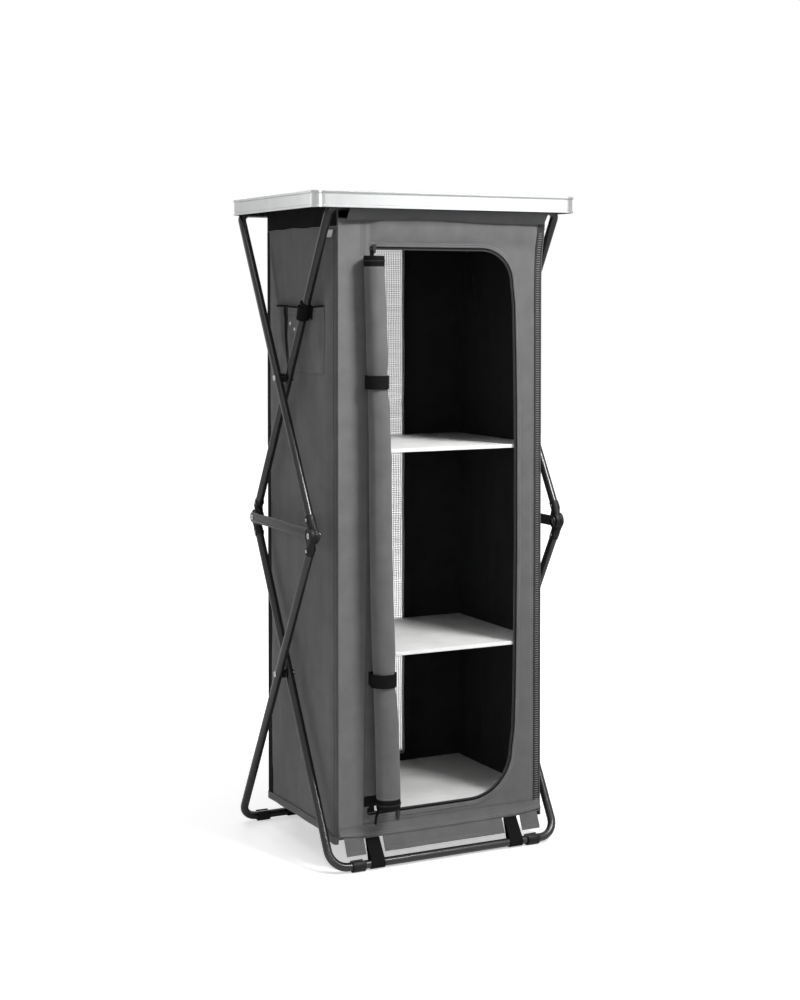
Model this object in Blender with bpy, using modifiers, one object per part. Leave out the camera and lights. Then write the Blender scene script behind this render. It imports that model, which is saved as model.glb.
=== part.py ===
"""Folding camping cupboard: a fabric cabinet with shelves, carried between two scissor pairs of
U-shaped steel tubes, under a lift-off tabletop.

Metres, +Z up. The door faces -Y. The pieces are placed from the middle of the steel frame, and
the whole is then moved so that the origin lies on the floor under the middle of its outline,
the rolled door included.
"""

import math

import bmesh
import bpy
from mathutils import Matrix, Vector

# Overall
height = 1.270
clear = 0.0003  # gap that touching solids keep

# Tabletop: a board in an aluminium edge frame
table_width = 0.565
table_depth = 0.420
table_corner_radius = 0.025
edge_height = 0.031
edge_lip_height = 0.0065
edge_lip_out = 0.0018  # how far the lips stand out from the band between them
edge_wall = 0.0022
edge_flange_width = 0.0075
edge_flange_thickness = 0.0018
edge_ledge_width = 0.0130
edge_ledge_thickness = 0.0018
board_thickness = 0.0084  # of the part that is held under the frame's flange
board_rebate_from = 0.0030  # where the top field starts, above the board's underside
board_field_play = 0.0004  # between the field and the flange, all round
board_sunk = 0.0003  # the field's face below the flange's
corner_steps = 6

# Steel tubes
tube_diameter = 0.016
tube_wall = 0.0012
tube_bevel_resolution = 4
leg_inset = 0.0165  # from the tabletop's side in to the legs of the outer pair of U tubes
leg_plane_step = 0.0225  # from the outer pair in to the inner pair
floor_bar_inset = 0.014  # each floor bar, in from the tabletop's front or back
mid_joint_inset = 0.050
top_bar_inset = 0.018
floor_bend_radius = 0.035
top_bend_radius = 0.020
bend_steps = 5
top_bar_below_edge = 0.0035  # how far a top bar hangs below the table's edge frame

# Foot clips
foot_thickness = 0.0035
foot_length = 0.026
foot_mouth = 0.010
foot_sides = 16
front_foot_inset = 0.0545  # in from the bar's own legs
rear_foot_inset = 0.0475

# Mid joints
knuckle_width = 0.0170
ear_radius = 0.0155
ear_arm_width = 0.0150
pivot_offset = 0.0085  # from the pin to the axis of either tube, so that the tubes fold parallel
neck_start = 0.0240
neck_end = 0.0310
plug_length = 0.0210
plug_play = 0.0004  # between the plug and the tube's bore, all round
neck_overlap = 0.0015  # how far an arm or a plug runs into the neck
pin_radius = 0.0030
pin_play = 0.0003
pin_head_radius = 0.0058
pin_head_height = 0.0018
spacer_radius = 0.0085
round_sides = 16
neck_sides = 12

# Lock bars
lock_bar_width = 0.020
lock_bar_thickness = 0.0030
lock_nose = 0.012
lock_notch_play = 0.0012
lock_end_steps = 6

# Saddles between the top bars and the tabletop
saddle_length = 0.024
saddle_inward = 0.020
saddle_wall = 0.0028
saddle_inset = 0.060  # in from the legs of the outer pair
saddle_below_bar = 0.0056
saddle_mouth = 0.013
saddle_play = 0.0008

# Fabric cabinet
cloth = 0.0015
cabinet_to_leg = 0.0235  # from a side panel out to the legs of the inner pair
cabinet_front_inset = 0.036  # in from the tabletop's front
cabinet_back_inset = 0.050
skirt_bottom_z = 0.057
front_top_below_table = 0.053
side_top_below_table = 0.020
floor_cloth_z = 0.0900
roof_cloth_below_table = 0.057

# Door opening, its zip and the rolled door
door_left_margin = 0.063  # between the opening and the cabinet's side
door_right_margin = 0.061
door_bottom_z = 0.103
door_top_below_table = 0.107
door_top_corner = 0.062
door_bottom_corner = 0.088
door_bow = 0.010  # how much the right edge leans in at its ends
door_bow_steps = 4
door_corner_steps = 7
zip_gap = 0.0030
zip_width = 0.0095
zip_thickness = 0.0010
pull_length = 0.0110
pull_width = 0.0070
pull_thickness = 0.0030
pull_tab_length = 0.0180
pull_tab_width = 0.0050
pull_tab_thickness = 0.0012
upper_pull_along = 0.011  # right of the opening's left edge
lower_pull_along = 0.061
roll_top_along = -0.001
roll_bottom_along = 0.024
roll_top_radius = 0.0225
roll_bottom_radius = 0.0275
roll_sides = 16
roll_end_gap = 0.012
door_hem_width = 0.012  # on the panel, left of the opening
door_hem_thickness = 0.0035
roll_strap_thickness = 0.0012
roll_strap_width = 0.025
upper_roll_strap_z = 0.916
lower_roll_strap_z = 0.358

# Mesh window in the back panel
window_width = 0.150
window_bottom_z = 0.125
window_top_below_table = 0.095
mesh_thickness = 0.0008
mesh_overlap = 0.012

# Boards
shelf_thickness = 0.006
shelf_side_gap = 0.0004
shelf_front_gap = 0.0010  # behind the front panel, so that a zip pull passes in the fold
base_board_thickness = 0.006
upper_shelf_z = 0.787  # top faces
lower_shelf_z = 0.400

# Side pocket
pocket_front_margin = 0.048  # between the pocket and the panel's front edge
pocket_back_margin = 0.064
pocket_bottom_z = 0.930
pocket_top_z = 1.058
pocket_thickness = 0.0020

# Webbing straps, top sleeves and the bottom flap
loop_play = 0.0004  # between a fabric loop and its tube
webbing = 0.0013
floor_strap_width = 0.028
floor_strap_inset = 0.070  # in from the cabinet's side
strap_top_z = 0.066
flap_margin = 0.010  # the cabinet's hem is this much longer at each end
flap_drop = 0.039
flap_notch_play = 0.004
sleeve_margin = 0.040

# Worked out from the sizes above
tube_radius = tube_diameter / 2
half_table_x = table_width / 2
half_table_y = table_depth / 2
outer_leg_x = half_table_x - leg_inset
inner_leg_x = outer_leg_x - leg_plane_step
foot_spread = table_depth - 2 * floor_bar_inset
mid_spread = table_depth - 2 * mid_joint_inset
top_spread = table_depth - 2 * top_bar_inset
front_foot_x = inner_leg_x - front_foot_inset
rear_foot_x = outer_leg_x - rear_foot_inset
saddle_x = outer_leg_x - saddle_inset
half_cabinet_x = inner_leg_x - cabinet_to_leg
cabinet_front_y = cabinet_front_inset - half_table_y
cabinet_back_y = half_table_y - cabinet_back_inset
door_left_x = door_left_margin - half_cabinet_x
door_right_x = half_cabinet_x - door_right_margin
upper_pull_x = door_left_x + upper_pull_along
lower_pull_x = door_left_x + lower_pull_along
roll_top_x = door_left_x + roll_top_along
roll_bottom_x = door_left_x + roll_bottom_along
pocket_front_y = cabinet_front_y + pocket_front_margin
pocket_back_y = cabinet_back_y - pocket_back_margin
floor_strap_x = half_cabinet_x - floor_strap_inset
flap_width = 2 * (half_cabinet_x - flap_margin)
sleeve_width = 2 * (half_cabinet_x - sleeve_margin)
floor_bar_z = tube_radius + foot_thickness
edge_bottom_z = height - edge_height
top_bar_z = edge_bottom_z - top_bar_below_edge + tube_radius
front_bar_y = -foot_spread / 2
back_bar_y = foot_spread / 2
front_mid_y = -mid_spread / 2
back_mid_y = mid_spread / 2
front_top_y = -top_spread / 2
back_top_y = top_spread / 2
# The tubes of a side run along one zigzag from floor bar to top bar; each mid joint sets its
# pin inside the bend by pivot_offset, so the leg angle solves
# leg_run * tan(angle) + 2 * pivot_offset / cos(angle) = leg_rise
leg_run = foot_spread / 2 + mid_spread + top_spread / 2
leg_rise = top_bar_z - floor_bar_z
leg_angle = math.acos(2 * pivot_offset / math.hypot(leg_rise, leg_run)) - math.atan2(
    leg_run, leg_rise
)
slope = math.tan(leg_angle)
mid_step = mid_spread / 2 * slope + pivot_offset / math.cos(leg_angle)
lower_cross_z = floor_bar_z + foot_spread / 2 * slope
mid_z = lower_cross_z + mid_step
upper_cross_z = mid_z + mid_step
board_bottom_z = height - edge_flange_thickness - clear - board_thickness
front_top_z = height - front_top_below_table
side_top_z = height - side_top_below_table
door_top_z = height - door_top_below_table
window_top_z = height - window_top_below_table
roof_cloth_z = height - roof_cloth_below_table
loop_inner = tube_radius + loop_play
loop_outer = loop_inner + webbing
lock_bar_x = inner_leg_x + leg_plane_step / 2
strap_top_inset = cloth / 2 + 2 * clear
plug_radius = tube_radius - tube_wall - plug_play


def clear_scene():
    for obj in list(bpy.data.objects):
        bpy.data.objects.remove(obj, do_unlink=True)


clear_scene()
parts = bpy.data.collections.new("folding_camping_cupboard")
cutters = bpy.data.collections.new("cutters")
bpy.context.scene.collection.children.link(parts)
bpy.context.scene.collection.children.link(cutters)


def material(name, colour, roughness, metallic):
    made = bpy.data.materials.new(name)
    made.use_nodes = True
    shader = made.node_tree.nodes["Principled BSDF"]
    shader.inputs["Base Color"].default_value = (*colour, 1)
    shader.inputs["Roughness"].default_value = roughness
    shader.inputs["Metallic"].default_value = metallic
    return made


grey_cloth = material("grey_oxford_cloth", (0.13, 0.13, 0.135), 0.85, 0)
black_cloth = material("black_webbing", (0.012, 0.012, 0.013), 0.9, 0)
white_mesh = material("white_mesh", (0.6, 0.6, 0.6), 0.8, 0)
black_plastic = material("black_plastic", (0.012, 0.012, 0.012), 0.45, 0)
grey_steel = material("powder_coated_steel", (0.05, 0.05, 0.053), 0.4, 0.3)
zinc_steel = material("zinc_plated_steel", (0.7, 0.7, 0.7), 0.25, 1)
aluminium = material("brushed_aluminium", (0.82, 0.82, 0.83), 0.3, 1)
white_sheet = material("white_board", (0.85, 0.85, 0.85), 0.35, 0)
shelf_board = material("light_shelf_board", (0.62, 0.62, 0.61), 0.6, 0)


def finish_object(name, mesh, look, at=(0, 0, 0), turn=(0, 0, 0)):
    obj = bpy.data.objects.new(name, mesh)
    parts.objects.link(obj)
    obj.location = at
    obj.rotation_euler = turn
    obj.data.materials.clear()
    obj.data.materials.append(look)
    return obj


def box_mesh(size, centre=(0, 0, 0)):
    shape = bmesh.new()
    bmesh.ops.create_cube(shape, size=1)
    bmesh.ops.scale(shape, vec=size, verts=shape.verts)
    bmesh.ops.translate(shape, vec=centre, verts=shape.verts)
    mesh = bpy.data.meshes.new("box")
    shape.to_mesh(mesh)
    shape.free()
    return mesh


def smooth(mesh):
    """Shades round faces smooth and keeps the edges at flat ends sharp."""
    mesh.shade_smooth()
    mesh.set_sharp_from_angle(angle=math.radians(40))


def rod_mesh(radius, low, high, sides, axis="Z", phase=0.0, end_radius=None):
    """A cylinder or cone between two places on an axis. Phase is a share of one side."""
    shape = bmesh.new()
    bmesh.ops.create_cone(
        shape,
        cap_ends=True,
        segments=sides,
        radius1=radius,
        radius2=radius if end_radius is None else end_radius,
        depth=high - low,
        matrix=Matrix.Rotation(phase * math.tau / sides, 4, "Z"),
    )
    bmesh.ops.translate(shape, vec=(0, 0, (low + high) / 2), verts=shape.verts)
    if axis == "X":
        shape.transform(Matrix.Rotation(math.pi / 2, 4, "Y"))
    mesh = bpy.data.meshes.new("rod")
    shape.to_mesh(mesh)
    shape.free()
    smooth(mesh)
    return mesh


def hull_mesh(meshes):
    """The skin stretched over several meshes, its flat faces kept whole."""
    shape = bmesh.new()
    for mesh in meshes:
        shape.from_mesh(mesh)
    found = bmesh.ops.convex_hull(shape, input=shape.verts)
    inside = [item for item in found["geom_interior"] if isinstance(item, bmesh.types.BMVert)]
    bmesh.ops.delete(shape, geom=inside, context="VERTS")
    loose = [face for face in shape.faces if face not in found["geom"]]
    bmesh.ops.delete(shape, geom=loose, context="FACES_ONLY")
    bmesh.ops.recalc_face_normals(shape, faces=shape.faces)
    bmesh.ops.dissolve_limit(
        shape, angle_limit=math.radians(0.1), verts=shape.verts, edges=shape.edges
    )
    mesh = bpy.data.meshes.new("hull")
    shape.to_mesh(mesh)
    shape.free()
    smooth(mesh)
    return mesh


def box(name, low, high, look):
    low, high = Vector(low), Vector(high)
    return finish_object(name, box_mesh(high - low), look, (low + high) / 2)


def tool(name, mesh, place=Matrix.Identity(4)):
    obj = bpy.data.objects.new(name, mesh)
    cutters.objects.link(obj)
    obj.matrix_world = place
    obj.hide_render = True
    obj.display_type = "WIRE"
    return obj


def combine(obj, mesh, operation, place=None):
    """Cuts or joins a mesh, given in the object's own space or in the space of place."""
    bpy.context.view_layer.update()
    here = obj.matrix_world.copy() if place is None else place
    other = tool(f"{obj.name}_{operation.lower()}_{len(obj.modifiers)}", mesh, here)
    other.parent = obj
    other.matrix_parent_inverse = obj.matrix_world.inverted()
    modifier = obj.modifiers.new(operation.lower(), "BOOLEAN")
    modifier.operation = operation
    modifier.solver = "EXACT"
    modifier.object = other
    return other


def plate_mesh(outlines, thickness):
    """A flat shape from closed outlines of (x, y) points; inner outlines are holes."""
    curve = bpy.data.curves.new("plate", "CURVE")
    curve.dimensions = "2D"
    curve.fill_mode = "BOTH"
    curve.extrude = thickness / 2
    for outline in outlines:
        spline = curve.splines.new("POLY")
        spline.points.add(len(outline) - 1)
        for point, (x, y) in zip(spline.points, outline):
            point.co = (x, y, 0, 1)
        spline.use_cyclic_u = True
    guide = bpy.data.objects.new("plate", curve)
    parts.objects.link(guide)
    return meshed(guide)


def plate(name, outlines, thickness, look, at, turn):
    return finish_object(name, plate_mesh(outlines, thickness), look, at, turn)


def meshed(guide):
    """The mesh of a curve object, its caps welded on. The curve is removed."""
    bpy.context.view_layer.update()
    graph = bpy.context.evaluated_depsgraph_get()
    mesh = bpy.data.meshes.new_from_object(guide.evaluated_get(graph))
    shape = bmesh.new()
    shape.from_mesh(mesh)
    bmesh.ops.remove_doubles(shape, verts=shape.verts, dist=1e-6)
    bmesh.ops.recalc_face_normals(shape, faces=shape.faces)
    shape.to_mesh(mesh)
    shape.free()
    curve = guide.data
    bpy.data.objects.remove(guide)
    bpy.data.curves.remove(curve)
    return mesh


def arc(centre, radius, start, end, steps):
    return [
        (
            centre[0] + radius * math.cos(start + (end - start) * i / steps),
            centre[1] + radius * math.sin(start + (end - start) * i / steps),
        )
        for i in range(steps + 1)
    ]


def rounded_rectangle(half_x, half_y, radius, steps):
    points = []
    for index, (side_x, side_y) in enumerate(((1, 1), (-1, 1), (-1, -1), (1, -1))):
        centre = (side_x * (half_x - radius), side_y * (half_y - radius))
        start = index * math.pi / 2
        points += arc(centre, radius, start, start + math.pi / 2, steps)
    return points


def turned(name, profile, look, at):
    """A turned piece along X: profile holds (radius, x) from its far end to its near end."""
    mesh = bpy.data.meshes.new(name)
    mesh.from_pydata(
        [(radius, 0, along) for radius, along in profile],
        [(i, i + 1) for i in range(len(profile) - 1)],
        [],
    )
    obj = finish_object(name, mesh, look, at, (0, math.pi / 2, 0))
    screw = obj.modifiers.new("turn", "SCREW")
    screw.axis = "Z"
    screw.steps = round_sides
    screw.render_steps = round_sides
    screw.use_merge_vertices = True
    screw.merge_threshold = 1e-6
    screw.use_smooth_shade = True
    return obj


def axis_empty(name, at):
    """Stands on a joint's axis and carries the pieces that turn or slide there."""
    empty = bpy.data.objects.new(name, None)
    empty.empty_display_size = 0.03
    empty.location = at
    parts.objects.link(empty)
    return empty


def carry(empty, pieces):
    bpy.context.view_layer.update()
    for piece in pieces:
        place = piece.matrix_world.copy()
        piece.parent = empty
        piece.matrix_parent_inverse = empty.matrix_world.inverted()
        piece.matrix_world = place


def leg_direction(towards):
    """Unit vector up a leg that leans towards +Y (1) or -Y (-1)."""
    return Vector((0, towards * math.cos(leg_angle), math.sin(leg_angle)))


def u_tube(name, leg_x, bar_y, bar_z, away, bend_radius, reach, crossings):
    """A U tube: a bar along X with two legs that run away from it. Crossings are drilled."""
    across = Vector((1, 0, 0))
    points = [Vector((-leg_x, 0, 0)) + away * reach]
    for side in (-1, 1):
        centre = Vector((side * (leg_x - bend_radius), 0, 0)) + away * bend_radius
        for i in range(bend_steps + 1):
            turn = math.pi / 2 * i / bend_steps
            if side < 0:
                spoke = -across * math.cos(turn) - away * math.sin(turn)
            else:
                spoke = across * math.sin(turn) - away * math.cos(turn)
            points.append(centre + spoke * bend_radius)
    points.append(Vector((leg_x, 0, 0)) + away * reach)
    curve = bpy.data.curves.new(name, "CURVE")
    curve.dimensions = "3D"
    curve.bevel_depth = tube_radius
    curve.bevel_resolution = tube_bevel_resolution
    spline = curve.splines.new("POLY")
    spline.points.add(len(points) - 1)
    for point, place in zip(spline.points, points):
        point.co = (*place, 1)
    guide = bpy.data.objects.new(name, curve)
    parts.objects.link(guide)
    mesh = meshed(guide)
    smooth(mesh)
    obj = finish_object(name, mesh, grey_steel, (0, bar_y, bar_z))
    wall = obj.modifiers.new("wall", "SOLIDIFY")
    wall.thickness = tube_wall
    wall.offset = -1
    hole_reach = leg_x + 2 * tube_diameter
    for along in crossings:
        drill = rod_mesh(pin_radius + pin_play, -hole_reach, hole_reach, neck_sides, "X")
        place = Matrix.Translation(Vector((0, bar_y, bar_z)) + away * along)
        combine(obj, drill, "DIFFERENCE", place)
    return obj


def knuckle(name, side, half, leg_x, at, away):
    """One half of a mid joint: a round ear on its side of the joint, a neck and a tube plug.

    The neck and the plug lie off the pin by pivot_offset, away from the joint's other tube.
    """
    ear_low = clear / 2
    ear_high = knuckle_width / 2
    low, high = (ear_low, ear_high) if side * half > 0 else (-ear_high, -ear_low)
    turn = Vector((0, 0, 1)).rotation_difference(away)
    outward = 1 if at[0] > 0 else -1
    aside = Vector((0, outward * abs(away.z), -half * abs(away.y))) * pivot_offset
    off = (turn.inverted() @ aside).y
    arm_end = neck_start + neck_overlap
    arm_size = (high - low, ear_arm_width, neck_overlap)
    arm_tip = box_mesh(arm_size, ((low + high) / 2, off, arm_end - neck_overlap / 2))
    obj = finish_object(
        name,
        hull_mesh((rod_mesh(ear_radius, low, high, round_sides, "X"), arm_tip)),
        black_plastic,
        (side * leg_x, at[0], at[1]),
        turn.to_euler(),
    )
    for radius, start, end in (
        (tube_radius, neck_start, neck_end),
        (plug_radius, neck_end - neck_overlap, neck_end + plug_length),
    ):
        piece = rod_mesh(radius, start, end, neck_sides)
        piece.transform(Matrix.Translation((0, off, 0)))
        combine(obj, piece, "UNION")
    bore = rod_mesh(pin_radius + pin_play, -knuckle_width, knuckle_width, neck_sides, "X")
    combine(obj, bore, "DIFFERENCE")
    return obj


def rivet_profile(low, high, low_head, high_head):
    """A rivet's outline between two faces: (radius, x) from the high end down to the low end."""
    edge = 0.6
    return [
        (0, high + high_head),
        (pin_head_radius * edge, high + high_head),
        (pin_head_radius, high + high_head * edge),
        (pin_head_radius, high),
        (pin_radius, high),
        (pin_radius, low),
        (pin_head_radius, low),
        (pin_head_radius, low - low_head * edge),
        (pin_head_radius * edge, low - low_head),
        (0, low - low_head),
    ]


def mirrored(profile, side):
    """The profile for the left side is the right one's, turned end for end."""
    if side > 0:
        return profile
    return [(radius, -along) for radius, along in reversed(profile)]


def strap(name, x, width, bar, end, look):
    """Webbing that loops round a bar and rises from it to the cabinet's hem."""
    obj = finish_object(
        name,
        rod_mesh(loop_outer, -width / 2, width / 2, round_sides, "X"),
        look,
        (x, bar[0], bar[1]),
    )
    run = Vector((0, end[0] - bar[0], end[1] - bar[1]))
    lean = Vector((0, 0, 1)).rotation_difference(run).to_matrix().to_4x4()
    start = loop_inner + webbing / 2
    tail = box_mesh((width, webbing, run.length - start), (0, 0, (run.length + start) / 2))
    combine(obj, tail, "UNION", Matrix.Translation((x, bar[0], bar[1])) @ lean)
    combine(obj, rod_mesh(loop_inner, -width, width, round_sides, "X"), "DIFFERENCE")
    return obj


names = {-1: "left", 1: "right"}
bodies = {}


def member(body, obj):
    bodies.setdefault(body, []).append(obj)
    return obj


# Tabletop: edge frame swept round the rounded rectangle, then the board in it
def edge_frame():
    profile = bpy.data.curves.new("edge_profile", "CURVE")
    profile.dimensions = "2D"
    band = -edge_lip_out
    inner = band - edge_wall
    seat = -edge_flange_thickness - board_thickness - 2 * clear
    outline = [
        (0, -0.0008),
        (-0.0008, 0),
        (-edge_flange_width, 0),
        (-edge_flange_width, -edge_flange_thickness),
        (inner, -edge_flange_thickness),
        (inner, seat),
        (-edge_ledge_width, seat),
        (-edge_ledge_width, seat - edge_ledge_thickness),
        (inner, seat - edge_ledge_thickness),
        (inner, -edge_height),
        (-edge_lip_out / 2, -edge_height),
        (-edge_lip_out / 2, -edge_height + edge_lip_height / 3),
        (band, -edge_height + edge_lip_height / 2),
        (band, -edge_lip_height - edge_lip_out),
        (0, -edge_lip_height),
    ]
    spline = profile.splines.new("POLY")
    spline.points.add(len(outline) - 1)
    for point, (out, up) in zip(spline.points, outline):
        point.co = (-out, up, 0, 1)
    spline.use_cyclic_u = True
    section = bpy.data.objects.new("edge_profile", profile)
    cutters.objects.link(section)
    section.hide_render = True
    path = bpy.data.curves.new("table_edge_frame", "CURVE")
    path.dimensions = "2D"
    path.fill_mode = "NONE"
    path.bevel_mode = "OBJECT"
    path.bevel_object = section
    run = path.splines.new("POLY")
    points = rounded_rectangle(half_table_x, half_table_y, table_corner_radius, corner_steps)
    run.points.add(len(points) - 1)
    for point, (x, y) in zip(run.points, points):
        point.co = (x, y, 0, 1)
    run.use_cyclic_u = True
    guide = bpy.data.objects.new("table_edge_frame", path)
    parts.objects.link(guide)
    return finish_object("table_edge_frame", meshed(guide), aluminium, (0, 0, height))


member("table", edge_frame())


def board_outline(inset):
    return rounded_rectangle(
        half_table_x - inset, half_table_y - inset, table_corner_radius - inset, corner_steps
    )


board_inset = edge_lip_out + edge_wall + clear
board = plate(
    "table_board",
    [board_outline(board_inset)],
    board_thickness,
    white_sheet,
    (0, 0, board_bottom_z + board_thickness / 2),
    (0, 0, 0),
)
# its rebated top comes up inside the frame's flange
field_height = board_thickness + clear + edge_flange_thickness - board_sunk - board_rebate_from
field = plate_mesh([board_outline(edge_flange_width + board_field_play)], field_height)
field_z = board_bottom_z + board_rebate_from + field_height / 2
combine(board, field, "UNION", Matrix.Translation((0, 0, field_z)))
member("table", board)

# U tubes
up_back = leg_direction(1)
up_front = leg_direction(-1)
long_lower = foot_spread / 2 / math.cos(leg_angle)
short_arm = mid_spread / 2 / math.cos(leg_angle) + pivot_offset * slope
long_upper = top_spread / 2 / math.cos(leg_angle)
tube_gap = neck_end + clear
lower_reach = long_lower + short_arm - tube_gap
upper_reach = long_upper + short_arm - tube_gap
frames = (
    ("lower_front", inner_leg_x, front_bar_y, floor_bar_z, up_back, floor_bend_radius),
    ("lower_back", outer_leg_x, back_bar_y, floor_bar_z, up_front, floor_bend_radius),
    ("upper_front", inner_leg_x, front_top_y, top_bar_z, -up_front, top_bend_radius),
    ("upper_back", outer_leg_x, back_top_y, top_bar_z, -up_back, top_bend_radius),
)
for body, leg_x, bar_y, bar_z, away, bend in frames:
    is_lower = body.startswith("lower")
    reach = lower_reach if is_lower else upper_reach
    drilled = long_lower if is_lower else long_upper
    frame = u_tube(f"{body}_frame", leg_x, bar_y, bar_z, away, bend, reach, [drilled])
    member(body, frame)


# Foot clips under the floor bars
def foot(name, x, bar_y):
    corner_radius = floor_bar_z / math.cos(math.pi / foot_sides)
    obj = finish_object(
        name,
        rod_mesh(corner_radius, -foot_length / 2, foot_length / 2, foot_sides, "X", 0.5),
        black_plastic,
        (x, bar_y, floor_bar_z),
    )
    grip = rod_mesh(tube_radius + clear, -foot_length, foot_length, round_sides, "X")
    combine(obj, grip, "DIFFERENCE")
    mouth = box_mesh((2 * foot_length, foot_mouth, floor_bar_z * 2), (0, 0, floor_bar_z))
    combine(obj, mouth, "DIFFERENCE")
    return obj


for side, word in names.items():
    front = foot(f"front_foot_{word}", side * front_foot_x, front_bar_y)
    rear = foot(f"rear_foot_{word}", side * rear_foot_x, back_bar_y)
    member("lower_front", front)
    member("lower_back", rear)

# Mid joints: knuckles and pins
joints = (
    ("front_mid", outer_leg_x, front_mid_y, "lower_back", "upper_back", -up_front, up_back),
    ("back_mid", inner_leg_x, back_mid_y, "lower_front", "upper_front", -up_back, up_front),
)
for joint, leg_x, mid_y, lower_body, upper_body, down, up in joints:
    for side, word in names.items():
        at = (mid_y, mid_z)
        lower = knuckle(f"{joint}_lower_knuckle_{word}", side, 1, leg_x, at, down)
        upper = knuckle(f"{joint}_upper_knuckle_{word}", side, -1, leg_x, at, up)
        member(lower_body, lower)
        member(upper_body, upper)
ear_face = knuckle_width / 2 + clear
short_head = leg_plane_step / 2 - lock_bar_thickness / 2 - ear_face - clear
for side, word in names.items():
    profile = rivet_profile(-ear_face, ear_face, min(short_head, pin_head_height), pin_head_height)
    front_pin = turned(
        f"front_mid_pin_{word}",
        mirrored(profile, side),
        zinc_steel,
        (side * outer_leg_x, front_mid_y, mid_z),
    )
    member("lower_back", front_pin)
    bar_face = leg_plane_step / 2 + lock_bar_thickness / 2 + clear
    profile = rivet_profile(-ear_face, bar_face, pin_head_height, pin_head_height)
    back_pin = turned(
        f"back_mid_pin_{word}",
        mirrored(profile, side),
        zinc_steel,
        (side * inner_leg_x, back_mid_y, mid_z),
    )
    member("lower_front", back_pin)

# Crossings: a rivet through both tubes and a spacer between them
tube_face = tube_radius + clear
for level, cross_z, body in (
    ("lower", lower_cross_z, "lower_front"),
    ("upper", upper_cross_z, "upper_front"),
):
    for side, word in names.items():
        profile = rivet_profile(
            -tube_face, leg_plane_step + tube_face, pin_head_height, pin_head_height
        )
        at = (side * inner_leg_x, 0, cross_z)
        rivet = turned(
            f"{level}_cross_rivet_{word}", mirrored(profile, side), zinc_steel, at
        )
        member(body, rivet)
        spacer_low = tube_face
        spacer_high = leg_plane_step - tube_face
        spacer = finish_object(
            f"{level}_cross_spacer_{word}",
            rod_mesh(
                spacer_radius,
                *sorted((side * spacer_low, side * spacer_high)),
                round_sides,
                "X",
            ),
            black_plastic,
            at,
        )
        hole = rod_mesh(
            pin_radius + pin_play, -2 * leg_plane_step, 2 * leg_plane_step, neck_sides, "X"
        )
        combine(spacer, hole, "DIFFERENCE")
        member(body, spacer)


# Lock bars: a hole at the back pin, a notch that hooks over the front pin's place
def lock_outline():
    end = lock_bar_width / 2
    notch = pin_head_radius + lock_notch_play
    front = -mid_spread - lock_nose + end
    points = arc((0, 0), end, -math.pi / 2, math.pi / 2, lock_end_steps)
    points += arc((front, 0), end, math.pi / 2, math.pi, lock_end_steps)
    points += [(-mid_spread - notch, -end)]
    points += arc((-mid_spread, 0), notch, math.pi, 0, lock_end_steps)
    points += [(-mid_spread + notch, -end)]
    hole = arc((0, 0), pin_radius + pin_play, 0, math.tau, neck_sides)[:-1]
    return [points, hole]


for side, word in names.items():
    # the outline's x runs along +Y, its y along +Z
    bar = plate(
        f"lock_bar_{word}",
        lock_outline(),
        lock_bar_thickness,
        grey_steel,
        (side * lock_bar_x, back_mid_y, mid_z),
        (math.pi / 2, 0, math.pi / 2),
    )
    member(f"lock_{word}", bar)


# Saddles: clips on the top bars that the board rests on, stepped to pass the frame's ledge
def saddle_outline(outward):
    grip = tube_radius + clear
    mouth = saddle_mouth / 2
    start = -math.acos(mouth / grip)
    flank = grip + saddle_wall
    top = board_bottom_z - clear - top_bar_z
    step = top - edge_ledge_thickness - saddle_play
    ledge_out = half_table_y - edge_ledge_width - top_spread / 2 - saddle_play
    points = arc((0, 0), grip, start, math.pi - start, round_sides)
    points += [
        (-mouth, -saddle_below_bar),
        (-saddle_inward, -saddle_below_bar),
        (-saddle_inward, top),
        (ledge_out, top),
        (ledge_out, step),
        (flank, step),
        (flank, -saddle_below_bar),
        (mouth, -saddle_below_bar),
    ]
    return [(outward * along, up) for along, up in points]


def saddle(name, x, bar_y):
    outward = -1 if bar_y < 0 else 1
    return plate(
        name,
        [saddle_outline(outward)],
        saddle_length,
        black_plastic,
        (x, bar_y, top_bar_z),
        (math.pi / 2, 0, math.pi / 2),
    )


for body, bar_y in (("front_saddles", front_top_y), ("rear_saddles", back_top_y)):
    for side, word in names.items():
        place = body.split("_")[0]
        member(body, saddle(f"{place}_saddle_{word}", side * saddle_x, bar_y))

# Top sleeves from the cabinet's front and back edges round the top bars
front_edge = (cabinet_front_y - clear - webbing, front_top_z)
back_edge = (cabinet_back_y + clear + webbing, front_top_z)
front_bar = (front_top_y, top_bar_z)
back_bar = (back_top_y, top_bar_z)
front_sleeve = strap("top_front_sleeve", 0, sleeve_width, front_bar, front_edge, grey_cloth)
rear_sleeve = strap("top_rear_sleeve", 0, sleeve_width, back_bar, back_edge, grey_cloth)
member("front_saddles", front_sleeve)
member("rear_saddles", rear_sleeve)

# Cabinet walls
inner_x = half_cabinet_x - cloth
inner_front_y = cabinet_front_y + cloth + clear
inner_back_y = cabinet_back_y - cloth - clear
for side, word in names.items():
    low_x, high_x = sorted((side * inner_x, side * half_cabinet_x))
    wall = box(
        f"side_panel_{word}",
        (low_x, inner_front_y, skirt_bottom_z),
        (high_x, inner_back_y, side_top_z),
        grey_cloth,
    )
    member("cabinet", wall)


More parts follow.
